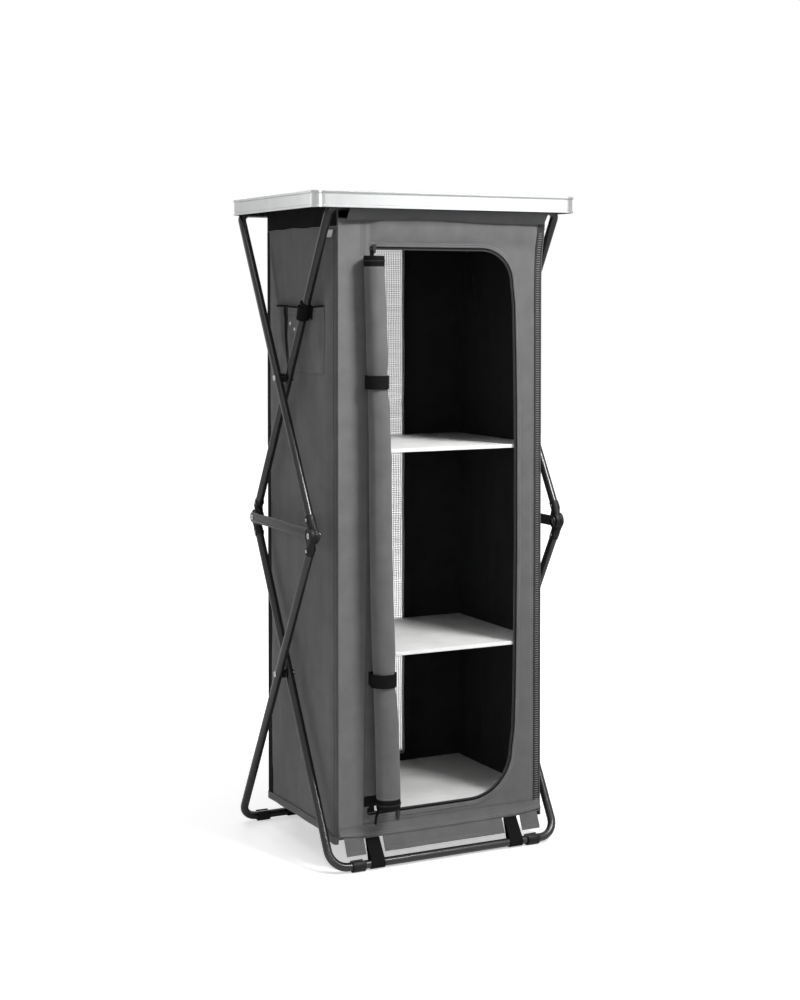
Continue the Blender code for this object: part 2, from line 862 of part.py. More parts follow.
def door_outline(grow):
    """The D-shaped opening, grown outwards on its right, top and bottom edges."""
    bottom = door_bottom_z - grow
    top = door_top_z + grow
    right = door_right_x + grow
    middle = (door_bottom_z + door_top_z) / 2
    half = (door_top_z - door_bottom_z) / 2
    points = [(door_left_x, top), (door_left_x, bottom)]
    low_radius = door_bottom_corner + grow
    high_radius = door_top_corner + grow
    low_centre = (right - door_bow - low_radius, bottom + low_radius)
    high_centre = (right - door_bow - high_radius, top - high_radius)
    points += arc(low_centre, low_radius, -math.pi / 2, 0, door_corner_steps)
    low_z = low_centre[1]
    high_z = high_centre[1]
    for i in range(1, 2 * door_bow_steps):
        z = low_z + (high_z - low_z) * i / (2 * door_bow_steps)
        lean = abs((z - middle) / half) ** 3
        points.append((right - door_bow * lean, z))
    points += arc(high_centre, high_radius, 0, math.pi / 2, door_corner_steps)
    return points


upright = (math.pi / 2, 0, 0)
front_outline = [
    (-half_cabinet_x, skirt_bottom_z),
    (half_cabinet_x, skirt_bottom_z),
    (half_cabinet_x, front_top_z),
    (-half_cabinet_x, front_top_z),
]
front_panel = plate(
    "front_panel",
    [front_outline, door_outline(0)],
    cloth,
    grey_cloth,
    (0, cabinet_front_y + cloth / 2, 0),
    upright,
)
member("cabinet", front_panel)
window = [
    (-window_width / 2, window_bottom_z),
    (window_width / 2, window_bottom_z),
    (window_width / 2, window_top_z),
    (-window_width / 2, window_top_z),
]
back_panel = plate(
    "back_panel",
    [front_outline, window],
    cloth,
    grey_cloth,
    (0, cabinet_back_y - cloth / 2, 0),
    upright,
)
member("cabinet", back_panel)
mesh_half = window_width / 2 + mesh_overlap
mesh_back_y = inner_back_y
mesh_front_y = mesh_back_y - mesh_thickness
back_mesh = box(
    "back_mesh",
    (-mesh_half, mesh_front_y, window_bottom_z - mesh_overlap),
    (mesh_half, mesh_back_y, window_top_z + mesh_overlap),
    white_mesh,
)
member("cabinet", back_mesh)

# Fabric floor and roof, and the boards
cloth_x = inner_x - clear
board_front_y = cabinet_front_y + cloth + shelf_front_gap
for name, z, front_y in (
    ("floor_panel", floor_cloth_z, board_front_y),
    ("roof_panel", roof_cloth_z, inner_front_y),
):
    low = (-cloth_x, front_y, z)
    high = (cloth_x, inner_back_y, z + cloth)
    member("cabinet", box(name, low, high, black_cloth))
board_x = inner_x - shelf_side_gap
board_back_y = mesh_front_y - shelf_side_gap
base_z = floor_cloth_z + cloth + clear
boards = (
    ("base_board", "cabinet", base_z, base_board_thickness),
    ("lower_shelf", "lower_shelf", lower_shelf_z - shelf_thickness, shelf_thickness),
    ("upper_shelf", "upper_shelf", upper_shelf_z - shelf_thickness, shelf_thickness),
)
for name, body, z, thickness in boards:
    low = (-board_x, board_front_y, z)
    high = (board_x, board_back_y, z + thickness)
    member(body, box(name, low, high, shelf_board))

# Zip tape round the opening, on the face of the front panel
tape_outer = door_outline(zip_gap + zip_width)
tape_inner = door_outline(zip_gap)
tape_outline = tape_outer[1:] + [tape_outer[0], tape_inner[0]] + tape_inner[:1:-1] + [tape_inner[1]]
zip_tape = plate(
    "door_zip_tape",
    [tape_outline],
    zip_thickness,
    black_cloth,
    (0, cabinet_front_y - clear - zip_thickness / 2, 0),
    upright,
)
member("cabinet", zip_tape)


# Zip pulls: a slider on the tape and a tab that hangs from it
def zip_pull(name, x, z):
    back_y = cabinet_front_y - zip_thickness - 2 * clear
    size = (pull_length, pull_thickness, pull_width)
    obj = finish_object(
        name, box_mesh(size), zinc_steel, (x, back_y - pull_thickness / 2, z)
    )
    drop = pull_tab_length - pull_width / 2
    tab_size = (pull_tab_width, pull_tab_thickness, pull_tab_length)
    tab = box_mesh(tab_size, (0, -pull_thickness / 2, -drop + pull_tab_length / 2))
    combine(obj, tab, "UNION")
    return obj


tape_middle = zip_gap + zip_width / 2
member("upper_zip_pull", zip_pull("upper_zip_pull", upper_pull_x, door_top_z + tape_middle))
member("lower_zip_pull", zip_pull("lower_zip_pull", lower_pull_x, door_bottom_z - tape_middle))

# Rolled door beside the opening, and the two straps round it
strap_room = roll_strap_thickness + 2 * clear
roll_bottom_z = door_bottom_z + roll_end_gap
roll_top_z = door_top_z - roll_end_gap


def roll_at(z):
    """The rolled door's x and radius at a height."""
    share = (z - roll_bottom_z) / (roll_top_z - roll_bottom_z)
    x = roll_bottom_x + (roll_top_x - roll_bottom_x) * share
    return x, roll_bottom_radius + (roll_top_radius - roll_bottom_radius) * share


def roll_piece(name, low_z, high_z, grow, look):
    """A stretch of the roll, or of a band on it: a cone that leans and lies along the panel."""
    low_x, low_radius = roll_at(low_z)
    high_x, high_radius = roll_at(high_z)
    face_y = cabinet_front_y - strap_room
    mesh = rod_mesh(
        low_radius + grow, 0, high_z - low_z, roll_sides, end_radius=high_radius + grow
    )
    for vertex in mesh.vertices:
        share = vertex.co.z / (high_z - low_z)
        radius = low_radius + (high_radius - low_radius) * share
        vertex.co.x += (high_x - low_x) * share
        vertex.co.y -= radius
    return finish_object(name, mesh, look, (low_x, face_y, low_z))


# The door's cloth leaves the panel as a hem at the opening's left edge, between the two straps
door_roll = roll_piece("door_roll", roll_bottom_z, roll_top_z, 0, grey_cloth)
hem_low_z = lower_roll_strap_z + roll_strap_width
hem_high_z = upper_roll_strap_z - roll_strap_width
hem_low_x = door_left_x - door_hem_width
hem_high_x = roll_at((hem_low_z + hem_high_z) / 2)[0]
hem_size = (hem_high_x - hem_low_x, door_hem_thickness, hem_high_z - hem_low_z)
hem_middle = (
    (hem_low_x + hem_high_x) / 2,
    cabinet_front_y - clear - door_hem_thickness / 2,
    (hem_low_z + hem_high_z) / 2,
)
combine(door_roll, box_mesh(hem_size), "UNION", Matrix.Translation(hem_middle))
member("cabinet", door_roll)
for level, z in (("upper", upper_roll_strap_z), ("lower", lower_roll_strap_z)):
    low_z = z - roll_strap_width / 2
    high_z = z + roll_strap_width / 2
    name = f"door_strap_{level}"
    band = roll_piece(name, low_z, high_z, clear + roll_strap_thickness, black_cloth)
    spare = 0.01
    core = roll_piece(f"{name}_core", low_z - spare, high_z + spare, clear, black_cloth)
    parts.objects.unlink(core)
    combine(band, core.data, "DIFFERENCE", Matrix.Translation(core.location))
    bpy.data.objects.remove(core)
    member("cabinet", band)

# Side pocket on the left panel
pocket = box(
    "side_pocket",
    (-half_cabinet_x - clear - pocket_thickness, pocket_front_y, pocket_bottom_z),
    (-half_cabinet_x - clear, pocket_back_y, pocket_top_z),
    grey_cloth,
)
member("cabinet", pocket)

# Straps from the cabinet's lower hem round the floor bars
hem = {
    "front": ((cabinet_front_y - strap_top_inset, strap_top_z), front_bar_y),
    "rear": ((cabinet_back_y + strap_top_inset, strap_top_z), back_bar_y),
}
for place, (end, bar_y) in hem.items():
    for side, word in names.items():
        band = strap(
            f"{place}_floor_strap_{word}",
            side * floor_strap_x,
            floor_strap_width,
            (bar_y, floor_bar_z),
            end,
            black_cloth,
        )
        member("cabinet" if place == "front" else "lower_back", band)

# Bottom flap: hangs from the front hem towards the floor bar, notched for the straps
flap_top, _ = hem["front"]
flap_run = Vector((0, front_bar_y - flap_top[0], floor_bar_z - flap_top[1])).normalized()
notch_half = floor_strap_width / 2 + flap_notch_play
flap_web = flap_drop * 0.18  # the strip that joins the flap's three parts above the straps
strap_face = webbing / 2 + clear + cloth / 2
flap_outline = [
    (-flap_width / 2, 0),
    (-flap_width / 2, -flap_drop),
    (-floor_strap_x - notch_half, -flap_drop),
    (-floor_strap_x - notch_half, -flap_web),
    (-floor_strap_x + notch_half, -flap_web),
    (-floor_strap_x + notch_half, -flap_drop),
    (floor_strap_x - notch_half, -flap_drop),
    (floor_strap_x - notch_half, -flap_web),
    (floor_strap_x + notch_half, -flap_web),
    (floor_strap_x + notch_half, -flap_drop),
    (flap_width / 2, -flap_drop),
    (flap_width / 2, 0),
]
flap_lean = math.atan2(-flap_run.y, -flap_run.z)
flap = plate(
    "bottom_flap",
    [flap_outline],
    cloth,
    grey_cloth,
    (0, flap_top[0] - strap_face, flap_top[1]),
    (math.pi / 2 - flap_lean, 0, 0),
)
member("cabinet", flap)

# Parent empties on the joint axes
axes = {
    "cabinet": (0, 0, 0),
    "lower_front": (0, front_bar_y, floor_bar_z),
    "lower_back": (0, 0, lower_cross_z),
    "upper_front": (0, back_mid_y, mid_z),
    "upper_back": (0, front_mid_y, mid_z),
    "lock_left": (-lock_bar_x, back_mid_y, mid_z),
    "lock_right": (lock_bar_x, back_mid_y, mid_z),
    "front_saddles": (0, front_top_y, top_bar_z),
    "rear_saddles": (0, back_top_y, top_bar_z),
    "table": (0, front_top_y, board_bottom_z),
    "lower_shelf": (0, 0, lower_shelf_z),
    "upper_shelf": (0, 0, upper_shelf_z),
    "upper_zip_pull": (upper_pull_x, cabinet_front_y, door_top_z),
    "lower_zip_pull": (lower_pull_x, cabinet_front_y, door_bottom_z),
}
front_most_y = cabinet_front_y - strap_room - 2 * roll_bottom_radius
middle_y = (front_most_y + half_table_y) / 2
whole = axis_empty("folding_camping_cupboard", (0, 0, 0))
for body, pieces in bodies.items():
    axis = axis_empty(f"{body}_axis", axes[body])
    carry(axis, pieces)
    axis.parent = whole
whole.location.y = -middle_y
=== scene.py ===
"""Folding camping cupboard: the looks of its pieces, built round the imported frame.

Metres, +Z up, door towards -Y. Pieces follow one another as the cupboard is put together: tubes,
joints, saddles, tabletop, cloth cabinet, door, straps, and last the plain studio.
"""

import math

import bmesh
import bpy
from mathutils import Matrix, Vector, noise


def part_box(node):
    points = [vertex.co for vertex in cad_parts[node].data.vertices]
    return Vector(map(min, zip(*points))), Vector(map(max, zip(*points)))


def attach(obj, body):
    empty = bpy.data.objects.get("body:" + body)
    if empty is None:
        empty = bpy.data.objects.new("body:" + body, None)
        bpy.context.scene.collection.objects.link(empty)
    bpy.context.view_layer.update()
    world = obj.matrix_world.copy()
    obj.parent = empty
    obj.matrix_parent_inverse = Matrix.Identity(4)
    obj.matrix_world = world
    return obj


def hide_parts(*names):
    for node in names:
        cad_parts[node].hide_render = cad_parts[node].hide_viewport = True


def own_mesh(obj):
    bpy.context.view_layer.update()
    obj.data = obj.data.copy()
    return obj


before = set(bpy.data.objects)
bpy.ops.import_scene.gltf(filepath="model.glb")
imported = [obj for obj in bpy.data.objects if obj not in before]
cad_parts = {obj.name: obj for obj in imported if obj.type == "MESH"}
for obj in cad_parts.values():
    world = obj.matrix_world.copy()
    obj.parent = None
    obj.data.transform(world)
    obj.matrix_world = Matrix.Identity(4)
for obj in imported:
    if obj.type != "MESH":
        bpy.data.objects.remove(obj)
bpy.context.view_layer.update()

for left_over in ("Cube", "Camera", "Light"):
    if left_over in bpy.data.objects:
        bpy.data.objects.remove(bpy.data.objects[left_over], do_unlink=True)

# Steel U tubes. Four tubes of 16 mm mild steel, each bent twice to a floor bar or a top bar with
# two legs; an inner and an outer pair cross as scissors on each side. Near-black powder coat.
middle_y = 0.0104  # the steel frame's middle lies this far behind the origin
tube_radius = 0.008
inner_leg_x = 0.2435
outer_leg_x = 0.266
floor_bar_z = 0.0115
top_bar_z = 1.2435
front_bar_y = middle_y - 0.196
back_bar_y = middle_y + 0.196
front_top_y = middle_y - 0.192
back_top_y = middle_y + 0.192
leg_angle = math.radians(59.4296)
sides = ((-1, "left"), (1, "right"))
rise = Vector((0, 0, math.sin(leg_angle)))
run = Vector((0, math.cos(leg_angle), 0))


def linear(hex_colour):
    """The linear colour, with alpha, of a colour written as sRGB hex."""
    parts = [int(hex_colour[i : i + 2], 16) / 255 for i in (1, 3, 5)]
    return (*[c / 12.92 if c <= 0.04045 else ((c + 0.055) / 1.055) ** 2.4 for c in parts], 1)


def add(tree, kind, sockets=None, **settings):
    """Adds a node with its settings; a socket takes a value, or the output that feeds it."""
    made = tree.nodes.new(kind)
    for name, value in settings.items():
        setattr(made, name, value)
    for key, value in (sockets or {}).items():
        if isinstance(value, bpy.types.NodeSocket):
            tree.links.new(value, made.inputs[key])
        else:
            made.inputs[key].default_value = value
    return made


def surface(name, colour, roughness, metallic=0.0):
    """A new material with one even finish, its node tree and its shader."""
    made = bpy.data.materials.new(name)
    made.use_nodes = True
    shader = made.node_tree.nodes["Principled BSDF"]
    shader.inputs["Base Color"].default_value = linear(colour)
    shader.inputs["Roughness"].default_value = roughness
    shader.inputs["Metallic"].default_value = metallic
    return made, made.node_tree, shader


def mottle(tree, shader, place, dark, light, scale, detail=3.0):
    """Varies the shader's colour between two tones in soft patches, scale patches to a metre."""
    patches = add(tree, "ShaderNodeTexNoise", {"Vector": place, "Scale": scale, "Detail": detail})
    spread = add(tree, "ShaderNodeMapRange", {0: patches.outputs[0], 1: 0.3, 2: 0.7, 3: 0.0, 4: 1.0})
    tones = {0: spread.outputs[0], 6: linear(dark), 7: linear(light)}
    mixed = add(tree, "ShaderNodeMix", tones, data_type="RGBA")
    tree.links.new(mixed.outputs[2], shader.inputs["Base Color"])


def finish(name, colour, roughness, tones, scale, metallic=0.0, detail=3.0):
    """A finish mottled between two tones: the material, its tree, its shader and its coordinates."""
    made, tree, shader = surface(name, colour, roughness, metallic)
    where = add(tree, "ShaderNodeTexCoord").outputs["Object"]
    mottle(tree, shader, where, *tones, scale, detail)
    return made, tree, shader, where


def grained(tree, shader, where, scale, detail, strength, distance):
    """Gives a finish a fine bump all over."""
    grain = add(tree, "ShaderNodeTexNoise", {"Vector": where, "Scale": scale, "Detail": detail})
    values = {"Strength": strength, "Distance": distance, "Height": grain.outputs[0]}
    tree.links.new(add(tree, "ShaderNodeBump", values).outputs[0], shader.inputs["Normal"])


# semi-gloss powder coat: near black with fine orange peel, 1.5 mm across so that it shows, and a
# narrow highlight line along the tube
tube_coat, tree, shader, where = finish(
    "semi_gloss_powder_coat", "#1a1a1b", 0.26, ("#171718", "#202021"), 30
)
grained(tree, shader, where, 650.0, 1.0, 0.12, 0.0003)
shader.inputs["Coat Weight"].default_value = 0.3
shader.inputs["Coat Roughness"].default_value = 0.12


def welded(mesh):
    """Merges a mesh's doubles and turns its faces outwards."""
    shape = bmesh.new()
    shape.from_mesh(mesh)
    bmesh.ops.remove_doubles(shape, verts=shape.verts, dist=1e-6)
    bmesh.ops.recalc_face_normals(shape, faces=shape.faces)
    shape.to_mesh(mesh)
    shape.free()
    return mesh


def plain_mesh(shape, name):
    """The mesh of a bmesh, which is freed."""
    mesh = bpy.data.meshes.new(name)
    shape.to_mesh(mesh)
    shape.free()
    return mesh


def evaluated_mesh(obj):
    """A new mesh of an object with its modifiers applied."""
    bpy.context.view_layer.update()
    graph = bpy.context.evaluated_depsgraph_get()
    return bpy.data.meshes.new_from_object(obj.evaluated_get(graph))


def linked(name, data):
    """A new object of some data, in the scene."""
    obj = bpy.data.objects.new(name, data)
    bpy.context.scene.collection.objects.link(obj)
    return obj


def curve_mesh(curve):
    """The closed mesh of a curve; the curve is removed."""
    guide = linked(curve.name, curve)
    mesh = evaluated_mesh(guide)
    bpy.data.objects.remove(guide)
    bpy.data.curves.remove(curve)
    return welded(mesh)


def piece(name, mesh, look, sharp=38):
    """A new object at the origin with its look; edges sharper than an angle stay crisp."""
    mesh.name = name
    mesh.shade_smooth()
    mesh.set_sharp_from_angle(angle=math.radians(sharp))
    mesh.materials.clear()
    for one in look if isinstance(look, (list, tuple)) else [look]:
        mesh.materials.append(one)
    return linked(name, mesh)


def paint_node(name, look):
    """Sets the look of a node that stays as the frame has it."""
    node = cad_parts[name]
    node.data.materials.clear()
    node.data.materials.append(look)


def fit(obj, body, slot, *nodes):
    """Sets a finished piece on its body, hiding the nodes it stands for; its slot is not used."""
    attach(obj, body)
    if nodes:
        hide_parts(*nodes)
    return obj


def tube_mesh(name, points, radius, resolution=10):
    """A round bar along a line of points, closed at its ends."""
    curve = bpy.data.curves.new(name, "CURVE")
    curve.dimensions = "3D"
    curve.bevel_depth = radius
    curve.bevel_resolution = resolution
    curve.use_fill_caps = True
    spline = curve.splines.new("POLY")
    spline.points.add(len(points) - 1)
    for point, place in zip(spline.points, points):
        point.co = (*place, 1)
    return curve_mesh(curve)


def u_points(leg_x, bar, away, bend, reach, steps=10):
    """The centre line of a U tube: down one leg, along the bar and up the other leg."""
    across = Vector((1, 0, 0))
    points = [bar - across * leg_x + away * reach]
    for side in (-1, 1):
        centre = bar + across * side * (leg_x - bend) + away * bend
        for i in range(steps + 1):
            turn = math.pi / 2 * i / steps
            if side > 0:
                turn = math.pi / 2 - turn
            points.append(centre + (across * side * math.cos(turn) - away * math.sin(turn)) * bend)
    points.append(bar + across * leg_x + away * reach)
    return points


tube_runs = {
    "lower_front": (inner_leg_x, front_bar_y, floor_bar_z, run + rise, 0.035, 0.6826),
    "lower_back": (outer_leg_x, back_bar_y, floor_bar_z, rise - run, 0.035, 0.6826),
    "upper_front": (inner_leg_x, front_top_y, top_bar_z, run - rise, 0.020, 0.6748),
    "upper_back": (outer_leg_x, back_top_y, top_bar_z, -run - rise, 0.020, 0.6748),
}
for body, (leg_x, bar_y, bar_z, away, bend, reach) in tube_runs.items():
    points = u_points(leg_x, Vector((0, bar_y, bar_z)), away, bend, reach)
    tube = piece(f"{body}_tube", tube_mesh(body, points, tube_radius), tube_coat)
    fit(tube, body, "coated_tube", f"{body}_frame")

# Mid joints. Each half is a black nylon moulding: a round ear on the pin, an arm, and a collar
# over the tube's end. The two halves lie side by side on one rivet and fold flat together.
mid_z = 0.630886
front_mid_y = middle_y - 0.160
back_mid_y = middle_y + 0.160
pivot_offset = 0.0085
ear_radius = 0.0155
ear_thickness = 0.00835
collar_radius = 0.0092

# moulded nylon: satin black with the faint grain of an eroded mould, drawn 1 mm across
black_nylon, tree, shader, where = finish(
    "moulded_black_nylon", "#131314", 0.50, ("#101011", "#181819"), 60
)
shader.inputs["Specular IOR Level"].default_value = 0.3
grained(tree, shader, where, 1000.0, 2.0, 0.2, 0.0002)


def lathe_mesh(profile, segments=28):
    """A turned shape about X from (x, radius) points; it closes on the axis at both ends."""
    shape = bmesh.new()
    points = [shape.verts.new((x, 0, radius)) for x, radius in profile]
    edges = [shape.edges.new(pair) for pair in zip(points, points[1:])]
    bmesh.ops.spin(
        shape, geom=points + edges, cent=(0, 0, 0), axis=(1, 0, 0), angle=math.tau,
        steps=segments, use_merge=True,
    )
    return welded(plain_mesh(shape, "lathe"))


def merged(meshes):
    """One mesh of several closed ones."""
    shape = bmesh.new()
    for mesh in meshes:
        shape.from_mesh(mesh)
    return plain_mesh(shape, "merged")


def arm_mesh(low, high, offset):
    """The arm from the ear to the collar: the skin round the ear's rim and the collar's ring."""
    shape = bmesh.new()
    rim, ring, ring_z = 0.0145, collar_radius - 0.0003, 0.0215
    turns = [math.tau * i / 24 for i in range(24)]
    for x in (low, high):
        for turn in turns:
            shape.verts.new((x, rim * math.cos(turn), rim * math.sin(turn)))
    for turn in turns:
        shape.verts.new((ring * math.cos(turn), offset + ring * math.sin(turn), ring_z))
    bmesh.ops.convex_hull(shape, input=shape.verts)
    bmesh.ops.recalc_face_normals(shape, faces=shape.faces)
    flat = math.radians(2)
    bmesh.ops.dissolve_limit(shape, angle_limit=flat, verts=shape.verts, edges=shape.edges)
    return plain_mesh(shape, "arm")


ear_profile = (
    (0.0, 0.0), (0.0, ear_radius - 0.0008), (0.0003, ear_radius - 0.0002), (0.0010, ear_radius),
    (ear_thickness - 0.0016, ear_radius), (ear_thickness - 0.0006, ear_radius - 0.0004),
    (ear_thickness - 0.0001, ear_radius - 0.0012), (ear_thickness, ear_radius - 0.0022),
    (ear_thickness - 0.0004, ear_radius - 0.0030), (ear_thickness - 0.0009, ear_radius - 0.0034),
    (ear_thickness - 0.0009, 0.0080), (ear_thickness - 0.0003, 0.0075),
    (ear_thickness - 0.0003, 0.0),
)
collar_profile = (
    (0.0200, 0.0), (0.0200, collar_radius - 0.0006), (0.0212, collar_radius),
    (0.0352, collar_radius), (0.0362, collar_radius - 0.0002), (0.0368, collar_radius - 0.0009),
    (0.0368, 0.0),
)
mid_joints = (
    ("front_mid", outer_leg_x, front_mid_y, "lower_back", "upper_back", run - rise, run + rise),
    ("back_mid", inner_leg_x, back_mid_y, "lower_front", "upper_front", -run - rise, rise - run),
)
upright = Vector((0, 0, 1))
mirror = Matrix.Scale(-1, 4, (1, 0, 0))
ear_gap = 0.00015  # each ear stands this far off the joint's middle plane
rivet_reach = 0.0290  # from the pin to the rivet through the tube's end
tube_end_rivets = {}
for joint, leg_x, mid_y, lower_body, upper_body, down, up in mid_joints:
    for half, body, away, level in ((1, lower_body, down, "lower"), (-1, upper_body, up, "upper")):
        for side, word in sides:
            turn = upright.rotation_difference(away).to_matrix().to_4x4()
            outward = 1 if mid_y > middle_y else -1
            aside = Vector((0, outward * abs(away.z), -half * abs(away.y))) * pivot_offset
            off = (turn.inverted() @ aside).y
            facing = side * half
            ear = lathe_mesh(ear_profile)
            ear.transform(Matrix.Translation((ear_gap, 0, 0)))
            if facing < 0:
                ear.transform(mirror)
            collar = lathe_mesh(collar_profile, 24)
            collar.transform(Matrix.Rotation(-math.pi / 2, 4, "Y"))
            collar.transform(Matrix.Translation((0, off, 0)))
            low, high = sorted((facing * 0.0012, facing * 0.0072))
            mesh = merged([ear, collar, arm_mesh(low, high, off)])
            mesh.transform(Matrix.Translation((side * leg_x, mid_y, mid_z)) @ turn)
            moulding = piece(f"{joint}_{level}_moulding_{word}", welded(mesh), black_nylon, 30)
            fit(moulding, body, "black_plastic", f"{joint}_{level}_knuckle_{word}")
            centre = Vector((side * leg_x, mid_y, mid_z)) + aside + away * rivet_reach
            tube_end_rivets.setdefault(body, []).append(centre)

# Rivets. Zinc-plated steel pins with domed heads hold the joints and the crossings; small ones
# hold each tube end in its collar. The small ones repeat and are set by Geometry Nodes.
lower_cross_z = 0.343309
upper_cross_z = 0.918463

# zinc plate: bright grey metal with a slight cloudiness
zinc_tones = ("#b6b7b9", "#d4d5d6")
zinc_plate = finish("zinc_plated_steel", "#c9cacb", 0.24, zinc_tones, 120, 1.0)[0]


def rivet_mesh(low, high, head, dome):
    """A rivet along X between two faces, with a domed head at each end."""
    shank = 0.0029
    arc = [(math.sin(math.radians(a)), math.cos(math.radians(a))) for a in (90, 70, 50, 30, 12)]
    left = [(low - dome * s, head * c) for s, c in arc]
    right = [(high + dome * s, head * c) for s, c in reversed(arc)]
    left[0] = (low - dome, 0.0)
    right[-1] = (high + dome, 0.0)
    rims = [(low, head), (low, shank), (high, shank), (high, head)]
    return lathe_mesh([*left, *rims, *right], 24)


pin_head = 0.0058
# name, body, distance from the middle plane, y, z, reach inwards and outwards, height of the domes
pins = (
    ("front_mid_pin", "lower_back", outer_leg_x, front_mid_y, mid_z, 0.0088, 0.0088, 0.0009),
    ("back_mid_pin", "lower_front", inner_leg_x, back_mid_y, mid_z, 0.0088, 0.0130, 0.0018),
    ("lower_cross_rivet", "lower_front", inner_leg_x, middle_y, lower_cross_z, 0.0083, 0.0308, 0.0018),
    ("upper_cross_rivet", "upper_front", inner_leg_x, middle_y, upper_cross_z, 0.0083, 0.0308, 0.0018),
)
for side, word in sides:
    for name, body, x, y, z, below, above, dome in pins:
        mesh = rivet_mesh(-below, above, pin_head, dome)
        if side < 0:
            mesh.transform(mirror)
        mesh.transform(Matrix.Translation((side * x, y, z)))
        rivet = piece(f"{name}_domed_{word}", welded(mesh), zinc_plate)
        fit(rivet, body, "plated_steel", f"{name}_{word}")
for level in ("lower", "upper"):
    for word in ("left", "right"):
        paint_node(f"{level}_cross_spacer_{word}", black_nylon)


def repeat_tree(name, shape_node, **shape_inputs):
    """Geometry Nodes that set one small shape at the middle of every edge of a path."""
    tree = bpy.data.node_groups.new(name, "GeometryNodeTree")
    sockets = (("Path", "Geometry"), ("Size", "Vector"), ("Facing", "Vector"), ("Finish", "Material"))
    for label, kind in sockets:
        tree.interface.new_socket(label, in_out="INPUT", socket_type=f"NodeSocket{kind}")
    tree.interface.new_socket("Row", in_out="OUTPUT", socket_type="NodeSocketGeometry")
    entry = tree.nodes.new("NodeGroupInput")
    ends = add(tree, "GeometryNodeInputMeshEdgeVertices")
    places = {0: ends.outputs["Position 2"], 1: ends.outputs["Position 1"]}
    span = add(tree, "ShaderNodeVectorMath", places, operation="SUBTRACT")
    kept = add(tree, "GeometryNodeCaptureAttribute", {0: entry.outputs["Path"]}, domain="EDGE")
    kept.capture_items.new("VECTOR", "span")
    tree.links.new(span.outputs[0], kept.inputs[1])
    points = add(tree, "GeometryNodeMeshToPoints", {0: kept.outputs[0]}, mode="EDGES")
    align = "FunctionNodeAlignRotationToVector"
    along = add(tree, align, {2: kept.outputs[1]}, axis="Z")
    outwards = {0: along.outputs[0], 2: entry.outputs["Facing"]}
    turned = add(tree, align, outwards, axis="X", pivot_axis="Z")
    copied = {
        "Points": points.outputs[0],
        "Instance": add(tree, shape_node, shape_inputs).outputs[0],
        "Rotation": turned.outputs[0],
        "Scale": entry.outputs["Size"],
    }
    copies = add(tree, "GeometryNodeInstanceOnPoints", copied)
    real = add(tree, "GeometryNodeRealizeInstances", {0: copies.outputs[0]})
    coat = {"Geometry": real.outputs[0], "Material": entry.outputs["Finish"]}
    coated = add(tree, "GeometryNodeSetMaterial", coat)
    leave = tree.nodes.new("NodeGroupOutput")
    tree.links.new(coated.outputs[0], leave.inputs[0])
    return tree


def repeated_mesh(tree, spans, size, facing, look):
    """The plain mesh of a tree's shape at the middle of each span of two points."""
    path = bpy.data.meshes.new("path")
    points = [tuple(end) for span in spans for end in span]
    path.from_pydata(points, [(i, i + 1) for i in range(0, len(points), 2)], [])
    guide = linked("path", path)
    modifier = guide.modifiers.new("row", "NODES")
    modifier.node_group = tree
    values = {"Size": size, "Facing": facing, "Finish": look}
    for item in tree.interface.items_tree:
        if item.in_out == "INPUT" and item.name in values:
            modifier[item.identifier] = values[item.name]
    mesh = evaluated_mesh(guide)
    bpy.data.objects.remove(guide)
    bpy.data.meshes.remove(path)
    return mesh


def row_piece(name, tree, spans, size, facing, look):
    """One piece of many small copies of a tree's shape."""
    return piece(name, repeated_mesh(tree, spans, size, facing, look), look)


small_rivets = repeat_tree("small_rivets", "GeometryNodeMeshUVSphere", Segments=14, Rings=8)
for body, centres in tube_end_rivets.items():
    spans = []
    for centre in centres:
        for side in (-1, 1):
            face = centre + Vector((side * (collar_radius - 0.0002), 0, 0))
            spans.append((face, face + Vector((side * 0.0004, 0, 0))))
    size = (0.0031, 0.0031, 0.0013)
    heads = row_piece(f"{body}_end_rivets", small_rivets, spans, size, (0, 0, 1), zinc_plate)
    fit(heads, body, "plated_steel")

# Lock bars. A flat steel bar on each side turns on the back pin, and its notch hooks over the
# front pin. Punched from strip, edges slightly rounded, in the same coat as the tubes.
lock_bar_x = 0.25475
mid_spread = 0.320


def plate_mesh(outlines, thickness, bevel):
    """A flat shape with softly rounded edges, from (y, z) outlines, about the x = 0 plane."""
    curve = bpy.data.curves.new("plate", "CURVE")
    curve.dimensions = "2D"
    curve.fill_mode = "BOTH"
    curve.extrude = thickness / 2 - bevel
    curve.bevel_depth = bevel
    curve.bevel_resolution = 2
    curve.offset = -bevel
    for outline in outlines:
        spline = curve.splines.new("POLY")
        spline.points.add(len(outline) - 1)
        for point, (along, up) in zip(spline.points, outline):
            point.co = (along, up, 0, 1)
        spline.use_cyclic_u = True
    mesh = curve_mesh(curve)
    mesh.transform(Matrix.Rotation(math.pi / 2, 4, "Z") @ Matrix.Rotation(math.pi / 2, 4, "X"))
    return mesh


def plate_piece(name, outlines, thickness, bevel, place, look, body, slot, node):
    """A plate moved to its place, as a piece of its own."""
    mesh = plate_mesh(outlines, thickness, bevel)
    mesh.transform(Matrix.Translation(place))
    return fit(piece(name, welded(mesh), look, 30), body, slot, node)


def even(low, high, steps):
    """Numbers at even steps from one to another, both included."""
    return [low + (high - low) * i / steps for i in range(steps + 1)]


def arc_points(centre, radius, start, end, steps):
    """Points along an arc, both ends included."""
    x, y = centre
    return [(x + radius * math.cos(a), y + radius * math.sin(a)) for a in even(start, end, steps)]


